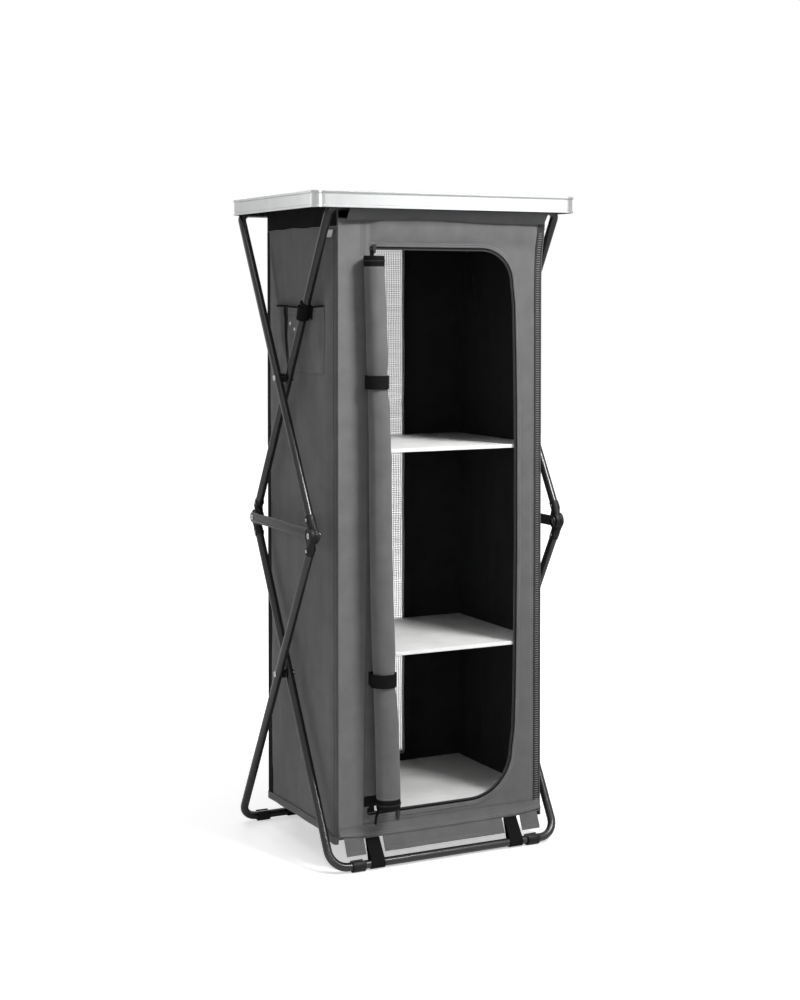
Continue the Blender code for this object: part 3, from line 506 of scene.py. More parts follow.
half_bar = 0.010
notch = 0.0070
bar_outline = arc_points((0, 0), half_bar, -math.pi / 2, math.pi / 2, 14)
bar_outline += arc_points((-mid_spread - 0.002, 0), half_bar, math.pi / 2, math.pi, 10)
bar_outline += [(-mid_spread - notch, -half_bar)]
bar_outline += arc_points((-mid_spread, 0), notch, math.pi, 0, 14)
bar_outline += [(-mid_spread + notch, -half_bar)]
pin_hole = arc_points((0, 0), 0.0033, 0, math.tau, 20)[:-1]
for side, word in sides:
    plate_piece(
        f"lock_bar_strip_{word}", [bar_outline, pin_hole], 0.003, 0.0004,
        (side * lock_bar_x, back_mid_y, mid_z), tube_coat, f"lock_{word}", "coated_tube",
        f"lock_bar_{word}",
    )

# Foot clips and saddles. Black nylon clips snapped round the tubes: the feet keep the floor bars
# off the ground, the saddles on the top bars carry the board and reach past its frame's ledge.
tube_grip = 0.0083
foot_mouth = 0.0050
quarter = math.pi / 2
mouth_turn = math.asin(foot_mouth / tube_grip)
foot_outline = arc_points((0, 0), floor_bar_z, quarter + mouth_turn, 5 * quarter - mouth_turn, 40)
foot_outline += arc_points((0, 0), tube_grip, quarter - mouth_turn, -3 * quarter + mouth_turn, 32)
for name, body, foot_x, bar_y in (
    ("front_foot", "lower_front", 0.189, front_bar_y),
    ("rear_foot", "lower_back", 0.2185, back_bar_y),
):
    for side, word in sides:
        plate_piece(
            f"{name}_clip_{word}", [foot_outline], 0.026, 0.0006,
            (side * foot_x, bar_y, floor_bar_z), black_nylon, body, "black_plastic",
            f"{name}_{word}",
        )

saddle_top = 1.2595 - 0.0003 - top_bar_z
saddle_base = -0.0056
saddle_half_mouth = 0.0065
saddle_x = 0.206
grip_start = -math.acos(saddle_half_mouth / tube_grip)
saddle_outline = arc_points((0, 0), tube_grip, grip_start, math.pi - grip_start, 28) + [
    (-saddle_half_mouth, saddle_base), (-0.020, saddle_base), (-0.020, saddle_top),
    (0.0042, saddle_top), (0.0042, saddle_top - 0.0026), (0.0111, saddle_top - 0.0026),
    (0.0111, saddle_base), (saddle_half_mouth, saddle_base),
]
for name, body, bar_y, outward in (
    ("front_saddle", "front_saddles", front_top_y, -1),
    ("rear_saddle", "rear_saddles", back_top_y, 1),
):
    outline = [(outward * along, up) for along, up in saddle_outline]
    for side, word in sides:
        plate_piece(
            f"{name}_clip_{word}", [outline], 0.024, 0.0005, (side * saddle_x, bar_y, top_bar_z),
            black_nylon, body, "black_plastic", f"{name}_{word}",
        )

# Tabletop. A laminated board in a frame of extruded aluminium, which is bent round the corners
# and has a lip at its top and bottom edges with a flat band and fine grooves between them.
height = 1.270
half_table_x = 0.2825
half_table_y = 0.210
table_corner = 0.025
edge_height = 0.031

# anodised aluminium: pale metal, drawn lines along the extrusion, satin
edge_metal, tree, shader, where = finish(
    "satin_anodised_aluminium", "#e2e4e4", 0.28, ("#dddfdf", "#e7e9e9"), 18, 1.0
)
stretched = add(tree, "ShaderNodeMapping", {0: where, 3: (3.0, 3.0, 2200.0)})
grained(tree, shader, stretched.outputs[0], 1.0, 2.0, 0.10, 0.0002)

# white laminate: hard matt-satin melamine with a barely seen mottling
white_laminate, tree, shader, where = finish(
    "white_melamine_laminate", "#efefed", 0.38, ("#ebebe9", "#f2f2f0"), 35
)
grained(tree, shader, where, 700.0, 1.0, 0.08, 0.0002)


def rounded_corners(half_x, half_y, radius, steps):
    """The outline of a rectangle with rounded corners, about the origin."""
    points = []
    for index, (side_x, side_y) in enumerate(((1, 1), (-1, 1), (-1, -1), (1, -1))):
        centre = (side_x * (half_x - radius), side_y * (half_y - radius))
        start = index * math.pi / 2
        points += arc_points(centre, radius, start, start + math.pi / 2, steps)
    return points


# (distance in from the outermost face, height above the bottom edge)
edge_section = (
    (0.0000, 0.0302), (0.0003, 0.0307), (0.0008, 0.0310), (0.0075, 0.0310), (0.0075, 0.0292),
    (0.0040, 0.0292), (0.0040, 0.0203), (0.0130, 0.0203), (0.0130, 0.0185), (0.0040, 0.0185),
    (0.0040, 0.0000), (0.0010, 0.0000), (0.0006, 0.0004), (0.0006, 0.0034), (0.0010, 0.0038),
    (0.0034, 0.0040), (0.0034, 0.0053), (0.0020, 0.0055), (0.0020, 0.0240), (0.0034, 0.0242),
    (0.0034, 0.0256), (0.0008, 0.0258), (0.0002, 0.0262), (0.0000, 0.0268),
)
corner_steps = 14
corner_ring = rounded_corners(half_table_x, half_table_y, table_corner, corner_steps)
ring_normals = []
for corner in range(4):
    start = corner * math.pi / 2
    ring_normals += arc_points((0, 0), 1, start, start + math.pi / 2, corner_steps)
shape = bmesh.new()
rings = []
for inset, up in edge_section:
    z = height - edge_height + up
    ring = zip(corner_ring, ring_normals)
    rings.append([shape.verts.new((x - nx * inset, y - ny * inset, z)) for (x, y), (nx, ny) in ring])
for upper, lower in zip(rings, rings[1:] + rings[:1]):
    for j in range(len(upper)):
        k = (j + 1) % len(upper)
        shape.faces.new((upper[j], upper[k], lower[k], lower[j]))
bmesh.ops.recalc_face_normals(shape, faces=shape.faces)
edge_mesh = plain_mesh(shape, "edge")
edge_mesh.transform(Matrix.Translation((0, middle_y, 0)))
edge = piece("table_edge_extrusion", edge_mesh, edge_metal, 25)
fit(edge, "table", "aluminium_edge", "table_edge_frame")
paint_node("table_board", white_laminate)

# Cabinet front. Charcoal polyester cloth, dark inside, cut out round the door and sewn to the side
# walls. A folded seam allowance runs down its right edge, and a doubled strip down its left one.
cabinet_x = 0.220
cabinet_front_y = middle_y - 0.174
cabinet_back_y = middle_y + 0.160
skirt_z = 0.057
front_top_z = 1.2215
cloth_thickness = 0.0015
door_left_x, door_right_x = -0.157, 0.159
door_bottom_z, door_top_z = 0.103, 1.163
door_bow = 0.010
zip_rows = (door_bottom_z - 0.006, door_top_z + 0.006)  # where the sliders run
lean_from, lean_depth = door_top_z + 0.013, 0.0078
shelf_levels = (0.0978, 0.400, 0.787)


def woven(name, colour, light, pitch, roughness=0.82, crease=0.35, sheen=0.15, gloss=0.3):
    """Plain-woven cloth on the piece's UV map in metres: crossing yarns under soft creases."""
    made, tree, shader = surface(name, colour, roughness)
    place = add(tree, "ShaderNodeUVMap", uv_map="cloth").outputs[0]
    mottle(tree, shader, place, colour, light, 26, 4.0)
    # the wave texture's period is 0.314 / scale metres
    bands = {"Vector": place, "Scale": 0.314159 / pitch, "Distortion": 0.35, "Detail": 1.0}
    warp = add(tree, "ShaderNodeTexWave", bands, bands_direction="X")
    weft = add(tree, "ShaderNodeTexWave", bands, bands_direction="Y")
    over = add(tree, "ShaderNodeMath", {0: warp.outputs[1], 1: 0.5}, operation="SUBTRACT")
    under = add(tree, "ShaderNodeMath", {0: weft.outputs[1], 1: 0.5}, operation="SUBTRACT")
    both = {0: over.outputs[0], 1: under.outputs[0]}
    crossing = add(tree, "ShaderNodeMath", both, operation="MULTIPLY").outputs[0]
    relief = {"Strength": 0.5, "Distance": pitch * 0.5, "Height": crossing}
    yarns = add(tree, "ShaderNodeBump", relief)
    long_way = add(tree, "ShaderNodeMapping", {0: place, 3: (9.0, 2.6, 1.0)}).outputs[0]
    soft = add(tree, "ShaderNodeTexNoise", {"Vector": long_way, "Scale": 1.0, "Detail": 3.0})
    relief = {
        "Strength": crease, "Distance": 0.02, "Height": soft.outputs[0], "Normal": yarns.outputs[0]
    }
    folds = add(tree, "ShaderNodeBump", relief)
    tree.links.new(folds.outputs[0], shader.inputs["Normal"])
    shader.inputs["Sheen Weight"].default_value = sheen
    shader.inputs["Sheen Roughness"].default_value = 0.5
    shader.inputs["Specular IOR Level"].default_value = gloss
    return made


# 1.2 mm yarn spacing, twice the real one, so that it shows from near
grey_cloth = woven("charcoal_polyester_weave", "#5d5d5e", "#666667", 0.0012)
# the same cloth's coated inner side: near black and smoother
black_lining = woven("black_coated_lining", "#171718", "#1e1e1f", 0.0012, 0.8, 0.25, 0.02, 0.2)
# darker cloth of the top sleeves and valances, darkened as painted shade for the tabletop's shadow
# over them, and a black one for the side walls' tops
dark_cloth = woven("dark_edge_cloth", "#48484a", "#505051", 0.0014, 0.8, 0.2, 0.1)
black_cloth = woven("black_edge_cloth", "#0e0e0f", "#141415", 0.0014, 0.8, 0.2, 0.0, 0.1)
# polyamide webbing: black, coarse ribs
black_webbing = woven("black_ribbed_webbing", "#0b0b0c", "#121213", 0.0022, 0.75, 0.05, 0.0, 0.12)
# bonded sewing thread, a shade lighter than the cloth, and black thread
thread = finish("bonded_thread", "#848486", 0.6, ("#777779", "#929294"), 300)[0]
black_thread = finish("bonded_black_thread", "#1c1c1d", 0.6, ("#161617", "#242425"), 300)[0]


def skin(name, rows, outward=None, chart=None, closed=False):
    """An open surface through rows of points; chart gives a point's place on the flat cloth."""
    count = len(rows[0])
    shape = bmesh.new()
    points = [[shape.verts.new(place) for place in row] for row in rows]
    places = {}
    for i, row in enumerate(points):
        for j, point in enumerate(row):
            places[point] = chart(i, j, point.co) if chart else (point.co.x, point.co.z)
    layer = shape.loops.layers.uv.new("cloth")
    for upper, lower in zip(points, points[1:]):
        for j in range(count if closed else count - 1):
            k = (j + 1) % count
            face = shape.faces.new((upper[j], upper[k], lower[k], lower[j]))
            for loop in face.loops:
                loop[layer].uv = places[loop.vert]
    shape.normal_update()
    if outward and sum(face.normal.dot(Vector(outward)) for face in shape.faces) < 0:
        bmesh.ops.reverse_faces(shape, faces=shape.faces)
    return plain_mesh(shape, name)


def thickened(name, mesh, looks, thickness, offset=-1):
    """A sheet made solid, inwards from its outer face; a second look covers its inner side."""
    obj = piece(name, mesh, looks, 60)
    wall = obj.modifiers.new("wall", "SOLIDIFY")
    wall.thickness = thickness
    wall.offset = offset
    wall.use_even_offset = True
    wall.material_offset = len(obj.data.materials) - 1
    solid = evaluated_mesh(obj)
    flat = obj.data
    obj.modifiers.clear()
    obj.data = solid
    bpy.data.meshes.remove(flat)
    solid.name = name
    solid.shade_smooth()
    solid.set_sharp_from_angle(angle=math.radians(50))
    return obj


def cloth_fit(obj, slot, *nodes):
    """Cabinet cloth rides on the cabinet, on a mesh of its own."""
    fit(obj, "cabinet", slot, *nodes)
    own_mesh(obj)
    return obj


def sewn(name, rows, look, thickness, outward, *nodes, slot="grey_cloth", chart=None, closed=False):
    """A layer of cloth through rows of points, sewn to the cabinet."""
    layer = thickened(name, skin(name, rows, outward, chart, closed), look, thickness)
    return cloth_fit(layer, slot, *nodes)


def fade(value, edge):
    """0 at the edge, rising smoothly to 1 within the given distance."""
    share = max(0.0, min(1.0, value / edge))
    return share * share * (3 - 2 * share)


def shelf_pull(z):
    """1 where a board keeps the cloth flat, falling away above and below it."""
    return max(math.exp(-(((z - level) / 0.035) ** 2)) for level in shelf_levels)


def corner_flare(away, z):
    """How far the wall's upper right front corner is drawn out, at a distance from the corner."""
    return 0.008 * math.exp(-(((front_top_z - z) / 0.055) ** 2)) * (1 - fade(away, 0.055))


def front_y(x, z):
    """The front cloth's outer face: soft pulls and ripples, level at its seams and the zip."""
    edge = fade(cabinet_x - abs(x), 0.03) * fade(front_top_z - z, 0.03) * fade(z - skirt_z, 0.05)
    for level in zip_rows:
        edge *= 1 - math.exp(-(((z - level) / 0.010) ** 2))
    slow = 0.5 + 0.5 * noise.noise((x * 9, z * 3.2, 4.0))
    quick = 0.5 + 0.5 * noise.noise((x * 22, z * 13, 9.0))
    # above the door the cloth leans out to the bar that it hangs from, but not the stiff left strip
    lean = lean_depth * max(0.0, (z - lean_from) / (front_top_z - lean_from))
    lean *= fade(x + 0.158, 0.012) * fade(cabinet_x - x, 0.030)
    return cabinet_front_y - edge * (0.0026 * slow + 0.0014 * quick) - lean


def on_front(x, z, lift=0):
    """A place on the front cloth's face or a little in front of it."""
    return (x + corner_flare(cabinet_x - x, z), front_y(x, z) - lift, z)


def lengths_along(points):
    """How far along a line of points each of them lies."""
    lengths = [0.0]
    for a, b in zip(points, points[1:]):
        lengths.append(lengths[-1] + math.dist(a, b))
    return lengths


def resampled(points, count):
    """Points at even distances along a line, its last one left out."""
    lengths = lengths_along(points)
    found = []
    k = 0
    for i in range(count):
        goal = lengths[-1] * i / count
        while lengths[k + 1] < goal:
            k += 1
        share = (goal - lengths[k]) / (lengths[k + 1] - lengths[k])
        found.append([p + (q - p) * share for p, q in zip(points[k], points[k + 1])])
    return found


def ring_rows(inner, outer, steps, place):
    """Rows of places from an inner ring of points out to an outer one."""
    rows = []
    for share in even(0, 1, steps):
        pairs = zip(inner, outer)
        rows.append([place(a + (c - a) * share, b + (d - b) * share) for (a, b), (c, d) in pairs])
    return rows


def door_edge(grow):
    """The D-shaped opening's right part, from its lower left end round to its upper left end."""
    bottom, top, right = door_bottom_z - grow, door_top_z + grow, door_right_x + grow
    middle, half = (door_bottom_z + door_top_z) / 2, (door_top_z - door_bottom_z) / 2
    low_radius, high_radius = 0.088 + grow, 0.062 + grow
    side_x = right - door_bow
    points = [(door_left_x, bottom)]
    points += arc_points((side_x - low_radius, bottom + low_radius), low_radius, -math.pi / 2, 0, 14)
    for z in even(bottom + low_radius, top - high_radius, 24)[1:-1]:
        points.append((right - door_bow * abs((z - middle) / half) ** 3, z))
    points += arc_points((side_x - high_radius, top - high_radius), high_radius, 0, math.pi / 2, 12)
    points.append((door_left_x, top))
    return points


edge_points = door_edge(0)
corner_low, corner_high = 9, len(edge_points) - 9
door_sides = (
    (edge_points[: corner_low + 1], 46),
    (edge_points[corner_low : corner_high + 1], 110),
    (edge_points[corner_high:], 46),
    ([(door_left_x, door_top_z), (door_left_x, door_bottom_z)], 110),
)
frame_corners = [
    (-cabinet_x, skirt_z), (cabinet_x, skirt_z), (cabinet_x, front_top_z), (-cabinet_x, front_top_z),
]
inner_ring, outer_ring = [], []
for index, (side_points, count) in enumerate(door_sides):
    inner_ring += resampled(side_points, count)
    outer_ring += resampled([frame_corners[index], frame_corners[(index + 1) % 4]], count)
outside_front = (0, -1, 0)
lined_cloth = [grey_cloth, black_lining]
front_cloth = sewn(
    "front_cloth", ring_rows(inner_ring, outer_ring, 12, on_front), lined_cloth, cloth_thickness,
    outside_front, "front_panel", closed=True,
)

stitch_tree = repeat_tree("stitches", "GeometryNodeMeshUVSphere", Segments=5, Rings=4)
stitch_pitch = 0.0035


def spans_along(path, pitch=stitch_pitch, share=0.62):
    """Short spans, one every pitch, along a line of points."""
    path = [Vector(point) for point in path]
    total = sum((b - a).length for a, b in zip(path, path[1:]))
    places = [Vector(place) for place in resampled(path, max(1, int(total / pitch)))]
    return [(a, a + (b - a) * share) for a, b in zip(places, places[1:])]


def stitched(name, spans, facing, body=None, look=thread, half_length=0.0012, width=0.00042):
    """Rows of stitches as one plain mesh, on one body or on the cabinet's folding walls."""
    seam = row_piece(name, stitch_tree, spans, (width, width, half_length), facing, look)
    return fit(seam, body, "grey_cloth") if body else cloth_fit(seam, "grey_cloth")


def front_layer(name, columns, low, high, lift, look, steps=60):
    """A layer of cloth on the front, from low(x) up to a height and lift(z) off the surface."""
    rows = []
    for share in even(0, 1, steps):
        levels = [(x, low(x) + (high - low(x)) * share) for x in columns]
        rows.append([on_front(x, z, lift(z)) for x, z in levels])
    return sewn(name, rows, look, 0.0010, outside_front)


# the folded seam allowance at the right edge, in a darker cloth, with bar stitches across it
seam_cloth = woven("seam_allowance_cloth", "#29292a", "#313132", 0.0014, 0.8, 0.2, 0.1)
band_low_x, band_high_x = 0.2040, 0.2185
front_layer(
    "front_seam_band", even(band_low_x, band_high_x, 4), lambda x: skirt_z + 0.004,
    front_top_z - 0.002, lambda z: 0.0012, seam_cloth,
)
bar_pitch = 0.0045
bar_width = 0.00065
spans = []
for z in (skirt_z + 0.012 + bar_pitch * i for i in range(252)):
    spans.append([on_front(x, z, 0.0014) for x in (band_low_x + 0.002, band_high_x - 0.002)])
stitched("front_bar_stitches", spans, outside_front, half_length=0.0048, width=bar_width)


def seam_x(z):
    """The strip's free edge; it leans to the right on its way up."""
    return -0.1615 + 0.0075 * (z - 0.64) / 0.58


# the strip at the left, which holds the door; its free edge is sewn down with two rows
rows = []
for z in even(skirt_z + 0.004, front_top_z - 0.001, 90):
    rows.append([on_front(x, z, 0.0014) for x in even(-cabinet_x + 0.0006, seam_x(z), 14)])
strip_cloth = woven("doubled_strip_weave", "#676768", "#707071", 0.0012)
sewn("front_strip", rows, strip_cloth, 0.0010, outside_front)
spans = []
for away in (0.0025, 0.0055):
    line = even(skirt_z + 0.012, 1.218, 90)
    spans += spans_along([on_front(seam_x(z) - away, z, 0.0015) for z in line], 0.0042)
for x in (band_low_x - 0.0020, band_low_x - 0.0075):
    spans += spans_along([on_front(x, z, 0.0001) for z in even(skirt_z + 0.012, 1.214, 90)])
for z in (front_top_z - 0.0032, front_top_z - 0.0062):
    spans += spans_along([on_front(x, z, 0.0015) for x in even(-0.216, -0.157, 12)])
stitched("front_stitches", spans, outside_front)
# zigzag that locks the strip's upper end
spans = []
for column in range(3):
    for i in range(17):
        z = 1.152 + 0.0042 * (i + 0.5 * (column % 2))
        x = seam_x(z) - 0.0090 - 0.0042 * column
        spans.append((on_front(x, z, 0.0016), on_front(x - 0.0021, z + 0.0021, 0.0016)))
stitched("strip_zigzag", spans, outside_front, look=black_thread, half_length=0.0014, width=0.0006)


def hem_low(x):
    """The front's lower edge: it sags between its corners."""
    return 0.0575 + 0.0075 * (abs(x) / cabinet_x) ** 4


def hem_lift(z):
    """The hem is pushed forwards by the flap that hangs out below it."""
    return 0.0016 + 0.0062 * (1 - fade(z - 0.058, 0.020))


front_layer(
    "front_hem", even(-cabinet_x + 0.001, cabinet_x - 0.001, 70), hem_low, 0.081, hem_lift,
    grey_cloth, 8,
)
spans = []
for up in (0.0030, 0.0060):
    line = [(x, hem_low(x) + up) for x in even(-0.216, 0.216, 70)]
    spans += spans_along([on_front(x, z, hem_lift(z) + 0.0001) for x, z in line])
stitched("front_hem_stitches", spans, outside_front)

# Side walls. The same cloth with a dark inner side, hanging from the table to below the floor. It
# swells a little between the shelves, a black band edges its top, and its front corners hang low.
side_top_z = 1.250


def side_chart(i, j, place):
    """A side wall's chart: its cloth seen from the side."""
    return place.y, place.z


def side_bulge(y, z):
    """How far a side wall stands out from its seams."""
    ends = fade(y - cabinet_front_y, 0.035) * fade(cabinet_back_y - y, 0.035)
    slack = 1 - 0.75 * shelf_pull(z)
    pulls = 0.5 + 0.5 * noise.noise((y * 11, z * 2.4, 1.5))
    folds = 0.5 + 0.5 * noise.noise((y * 30, z * 6.0, 7.5))
    # a crease runs from the pocket's rear corner up to the rear top corner
    along = (z - 1.058) / 0.142
    fold_y = middle_y + 0.096 + 0.050 * along
    crease = math.exp(-(((y - fold_y) / 0.005) ** 2)) * fade(0.6 - abs(along - 0.5), 0.2)
    lumps = slack * 0.0058 * pulls + 0.0018 * folds + 0.0040 * crease
    return ends * fade(side_top_z - z, 0.05) * lumps


def top_band_low(side, y):
    """The lower edge of the black band at a side wall's top; it waves a little."""
    return 1.2055 - 0.0035 * noise.noise((y * 14, side, 2.0))


def side_hem(y):
    """The lower edge: level, with a low corner at the front and a smaller one at the back."""
    front = math.exp(-(((y - cabinet_front_y - 0.014) / 0.030) ** 2))
    back = math.exp(-(((y - cabinet_back_y) / 0.030) ** 2))
    return skirt_z + 0.003 - 0.013 * front - 0.004 * back


def on_side(side, y, z, lift):
    """A place on a side wall's outer face or a little outside it."""
    flare = corner_flare(y - cabinet_front_y, z) if side > 0 else 0
    return (side * (cabinet_x + side_bulge(y, z) + lift) + flare, y, z)


def side_layer(name, side, edges, high, look):
    """A layer of cloth or tape from the hem up a side wall, between two edges that may lean."""
    rows = []
    lowest = 0.05  # it ends here even where the hem hangs lower
    for share in even(0, 1, 60):
        row = []
        for y in even(*edges(lowest + (high - lowest) * share), 6):
            bottom = max(lowest, side_hem(y) + 0.0004)
            row.append(on_side(side, y, bottom + (high - bottom) * share, 0.0011))
        rows.append(row)
    return sewn(name, rows, look, 0.0009, (side, 0, 0), chart=side_chart)


for side, word in sides:
    outside = (side, 0, 0)
    rows = []
    for share in even(0, 1, 140):
        levels = [(y, side_hem(y)) for y in even(cabinet_front_y, cabinet_back_y, 80)]
        rows.append([on_side(side, y, low + (side_top_z - low) * share, 0) for y, low in levels])
    wall = sewn(
        f"side_cloth_{word}", rows, lined_cloth, cloth_thickness, outside, f"side_panel_{word}",
        chart=side_chart,
    )
    # a black band edges the top; black tape binds the rear edge, and it widens towards the floor as
    # painted shade along the back corner
    rows = []
    for share in even(0, 1, 6):
        ys = even(cabinet_front_y + 0.002, cabinet_back_y - 0.002, 30)
        levels = [(y, top_band_low(side, y)) for y in ys]
        rows.append([on_side(side, y, low + (1.248 - low) * share, 0.0016) for y, low in levels])
    sewn(f"side_top_band_{word}", rows, black_cloth, 0.0009, outside, chart=side_chart)
    side_layer(
        f"side_rear_binding_{word}", side,
        lambda z: (cabinet_back_y - 0.0250 + 0.011 * z, cabinet_back_y - 0.0002),
        1.2075, black_cloth,
    )
    side_layer(
        f"side_front_band_{word}", side,
        lambda z: (cabinet_front_y + 0.0004, cabinet_front_y + 0.0140), 1.1995, dark_cloth,
    )
    # the hem, turned up twice along the lower edge
    rows = []
    ys = even(cabinet_front_y + 0.0004, cabinet_back_y - 0.0004, 50)
    for up in even(0, 0.0140, 4):
        rows.append([on_side(side, y, side_hem(y) - 0.0004 + up, 0.0023) for y in ys])
    sewn(f"side_hem_{word}", rows, grey_cloth, 0.0011, outside, chart=side_chart)
    spans = []
    for z in (0.068 + bar_pitch * i for i in range(250)):
        spans.append([on_side(side, cabinet_front_y + away, z, 0.0013) for away in (0.002, 0.012)])
    stitched(f"side_bar_stitches_{word}", spans, outside, half_length=0.0042, width=bar_width)
    spans = []
    for start_y, lean in ((cabinet_front_y + 0.0165, 0.0), (cabinet_back_y - 0.0268, 0.011)):
        line = even(0.075, 1.195, 90)
        spans += spans_along([on_side(side, start_y + lean * z, z, 0.0001) for z in line])
    for lift in (0.0030, 0.0115):
        spans += spans_along([on_side(side, y, side_hem(y) + lift, 0.0024) for y in ys])
    stitched(f"side_stitches_{word}", spans, outside)
    edge = [on_side(side, y, top_band_low(side, y) + 0.0006, 0.0018) for y in ys]
    stitched(f"side_band_stitches_{word}", spans_along(edge, 0.0030, 0.8), outside, width=0.0008)

# Back wall. The same cloth round a tall window of white knitted netting, which airs the cupboard;
# white tape binds the window's edge on the inside.
window_x = 0.084
window_low, window_high = 0.120, 1.180


def on_back(x, z):
    """A place on the back cloth's outer face, level at its sewn edges and round the window."""
    edge = fade(cabinet_x - abs(x), 0.03) * fade(side_top_z - z, 0.03) * fade(z - skirt_z, 0.05)
    edge *= fade(abs(x) - window_x, 0.02) if window_low < z < window_high else 1
    soft = 0.5 + 0.5 * noise.noise((x * 9, z * 3.0, 21.0))
    return (x, cabinet_back_y + edge * 0.0030 * soft, z)


def box_ring(low_x, high_x, low_z, high_z, across, tall):
    """Points round a rectangle, so many on each level side and so many on each upright one."""
    corners = [(low_x, low_z), (high_x, low_z), (high_x, high_z), (low_x, high_z)]
    ring = []
    for index, count in enumerate((across, tall, across, tall)):
        ring += resampled([corners[index], corners[(index + 1) % 4]], count)
    return ring


inner_ring = box_ring(-window_x, window_x, window_low, window_high, 20, 90)
outer_ring = box_ring(-cabinet_x, cabinet_x, skirt_z, side_top_z - 0.030, 20, 90)
outside_back = (0, 1, 0)
back_cloth = sewn(
    "back_cloth", ring_rows(inner_ring, outer_ring, 10, on_back), lined_cloth, cloth_thickness,
    outside_back, "back_panel", closed=True,
)

# white polyester netting: matt, light passes a little between its yarns
white_net, tree, shader = surface("white_knitted_net", "#d4d4d4", 0.7)
where = add(tree, "ShaderNodeTexCoord").outputs["Object"]
# the net's colour runs in level bands of lighter and darker grey: painted light and shade of its
# ripples
ripple_shade_ways = add(tree, "ShaderNodeMapping", {0: where, 3: (0.5, 1.0, 9.0)})
mottle(tree, shader, ripple_shade_ways.outputs[0], "#c4c4c5", "#efeff0", 24, 4.0)
# its binding tape: brighter and smoother
net_tape = finish("white_binding_tape", "#f4f4f3", 0.5, ("#efefee", "#f8f8f7"), 90)[0]
net_pitch = 0.004  # four times the real mesh, so that its openings show
net_y = cabinet_back_y - 0.0021
net_tree = repeat_tree("net_yarns", "GeometryNodeMeshCube")
net_top, net_bottom, net_side = window_high + 0.006, window_low - 0.006, window_x + 0.0025


def net_place(x, z):
    """The net's loops sag and crowd a little, which shows as soft ripples across it."""
    ripple = 0.0022 * noise.noise((x * 9, z * 38, 17.0)) + 0.0008 * math.sin(z * 260 + x * 14)
    return (x + 0.0006 * math.sin(z * 31 + x * 40), net_y + 0.4 * abs(ripple), z + ripple)


def net_rows(lines):
    """Spans between the neighbours of each line, a little longer than the gap."""
    made = []
    for line in lines:
        places = [Vector(net_place(x, z)) for x, z in line]
        made += list(zip(places, places[1:]))
    return made


upright_steps, level_steps = 120, 10
columns = even(-net_side, net_side, int(2 * net_side / net_pitch))
levels = even(net_bottom, net_top, int((net_top - net_bottom) / net_pitch))
spans = net_rows([[(x, z) for z in even(net_bottom, net_top, upright_steps)] for x in columns])
upright_yarns = repeated_mesh(
    net_tree, spans, (0.0016, 0.0009, (net_top - net_bottom) / upright_steps + 0.0004),
    outside_back, white_net,
)
spans = net_rows([[(x, z) for x in even(-net_side, net_side, level_steps)] for z in levels])
level_yarns = repeated_mesh(
    net_tree, spans, (0.0023, 0.0009, 2 * net_side / level_steps + 0.0004), outside_back, white_net
)
net = piece("back_net", merged([upright_yarns, level_yarns]), white_net)
cloth_fit(net, "white_mesh", "back_mesh")
for side, word in sides:
    ends = sorted((side * (window_x - 0.0025), side * (window_x + 0.0005)))
    rows = [[(x, net_y - 0.0008, z) for x in ends] for z in even(window_low, window_high, 40)]
    sewn(f"net_tape_{word}", rows, net_tape, 0.0006, outside_front, slot="white_mesh")
spans = []
for away in (cabinet_x - 0.008, window_x + 0.004, window_x + 0.008):
    for x in (-away, away):
        spans += spans_along([on_back(x, z) for z in even(skirt_z + 0.02, skirt_z + 1.14, 80)])
for z in (skirt_z + 0.006, skirt_z + 0.010, window_low - 0.006, window_high + 0.006):
    half = cabinet_x - 0.006 if z < 0.1 else window_x + 0.008
    spans += spans_along([on_back(x, z) for x in even(-half, half, 40)])
stitched("back_stitches", spans, outside_back)

# Floor, roof and boards. Cloth sheets close the cabinet below and above; the boards that lie on
# the floor cloth and on the seams of the walls are white-faced panels with a bound front edge.
half_board_x = 0.2181
board_front_y, board_back_y = middle_y - 0.1715, middle_y + 0.157
sheet_steps = 24
for name, z, sag in (("floor", 0.0915, 0.0), ("roof", 1.2145, -0.004)):
    rows = []
    for i, y in enumerate(even(board_front_y, board_back_y, sheet_steps)):
        inside = fade(min(i, sheet_steps - i) / sheet_steps, 0.4)
        xs = even(-half_board_x, half_board_x, 30)
        rows.append([(x, y, z + sag * fade(half_board_x - abs(x), 0.15) * inside) for x in xs])
    mesh = skin(name, rows, (0, 0, 1), lambda i, j, p: (p.x, p.y))
    lining = thickened(f"{name}_cloth", mesh, black_lining, cloth_thickness)
    if name == "floor":
        fit(lining, "cabinet", "black_lining", "floor_panel")
    else:
        cloth_fit(lining, "black_lining", "roof_panel")

# shelf boards: white paper-faced hardboard, matt, faintly marked by what stood on it
shelf_board, tree, shader, where = finish(
    "white_faced_hardboard", "#e3e3e1", 0.55, ("#d9d9d8", "#ebebe9"), 14, detail=5.0
)
grained(tree, shader, where, 420.0, 3.0, 0.15, 0.0004)
# the edge binding: smooth white plastic strip
edge_binding = finish("white_edge_binding", "#f4f4f3", 0.35, ("#efefee", "#f7f7f6"), 40)[0]


def bevelled_box(low, high, bevel):
    """A box between two corners with rounded edges."""
    shape = bmesh.new()
    bmesh.ops.create_cube(shape, size=1)
    size = Vector(high) - Vector(low)
    middle = (Vector(high) + Vector(low)) / 2
    for vert in shape.verts:
        vert.co = Vector(a * b for a, b in zip(vert.co, size)) + middle
    edges = shape.edges[:]
    bmesh.ops.bevel(shape, geom=edges, offset=bevel, segments=2, profile=0.5, affect="EDGES")
    return plain_mesh(shape, "box")


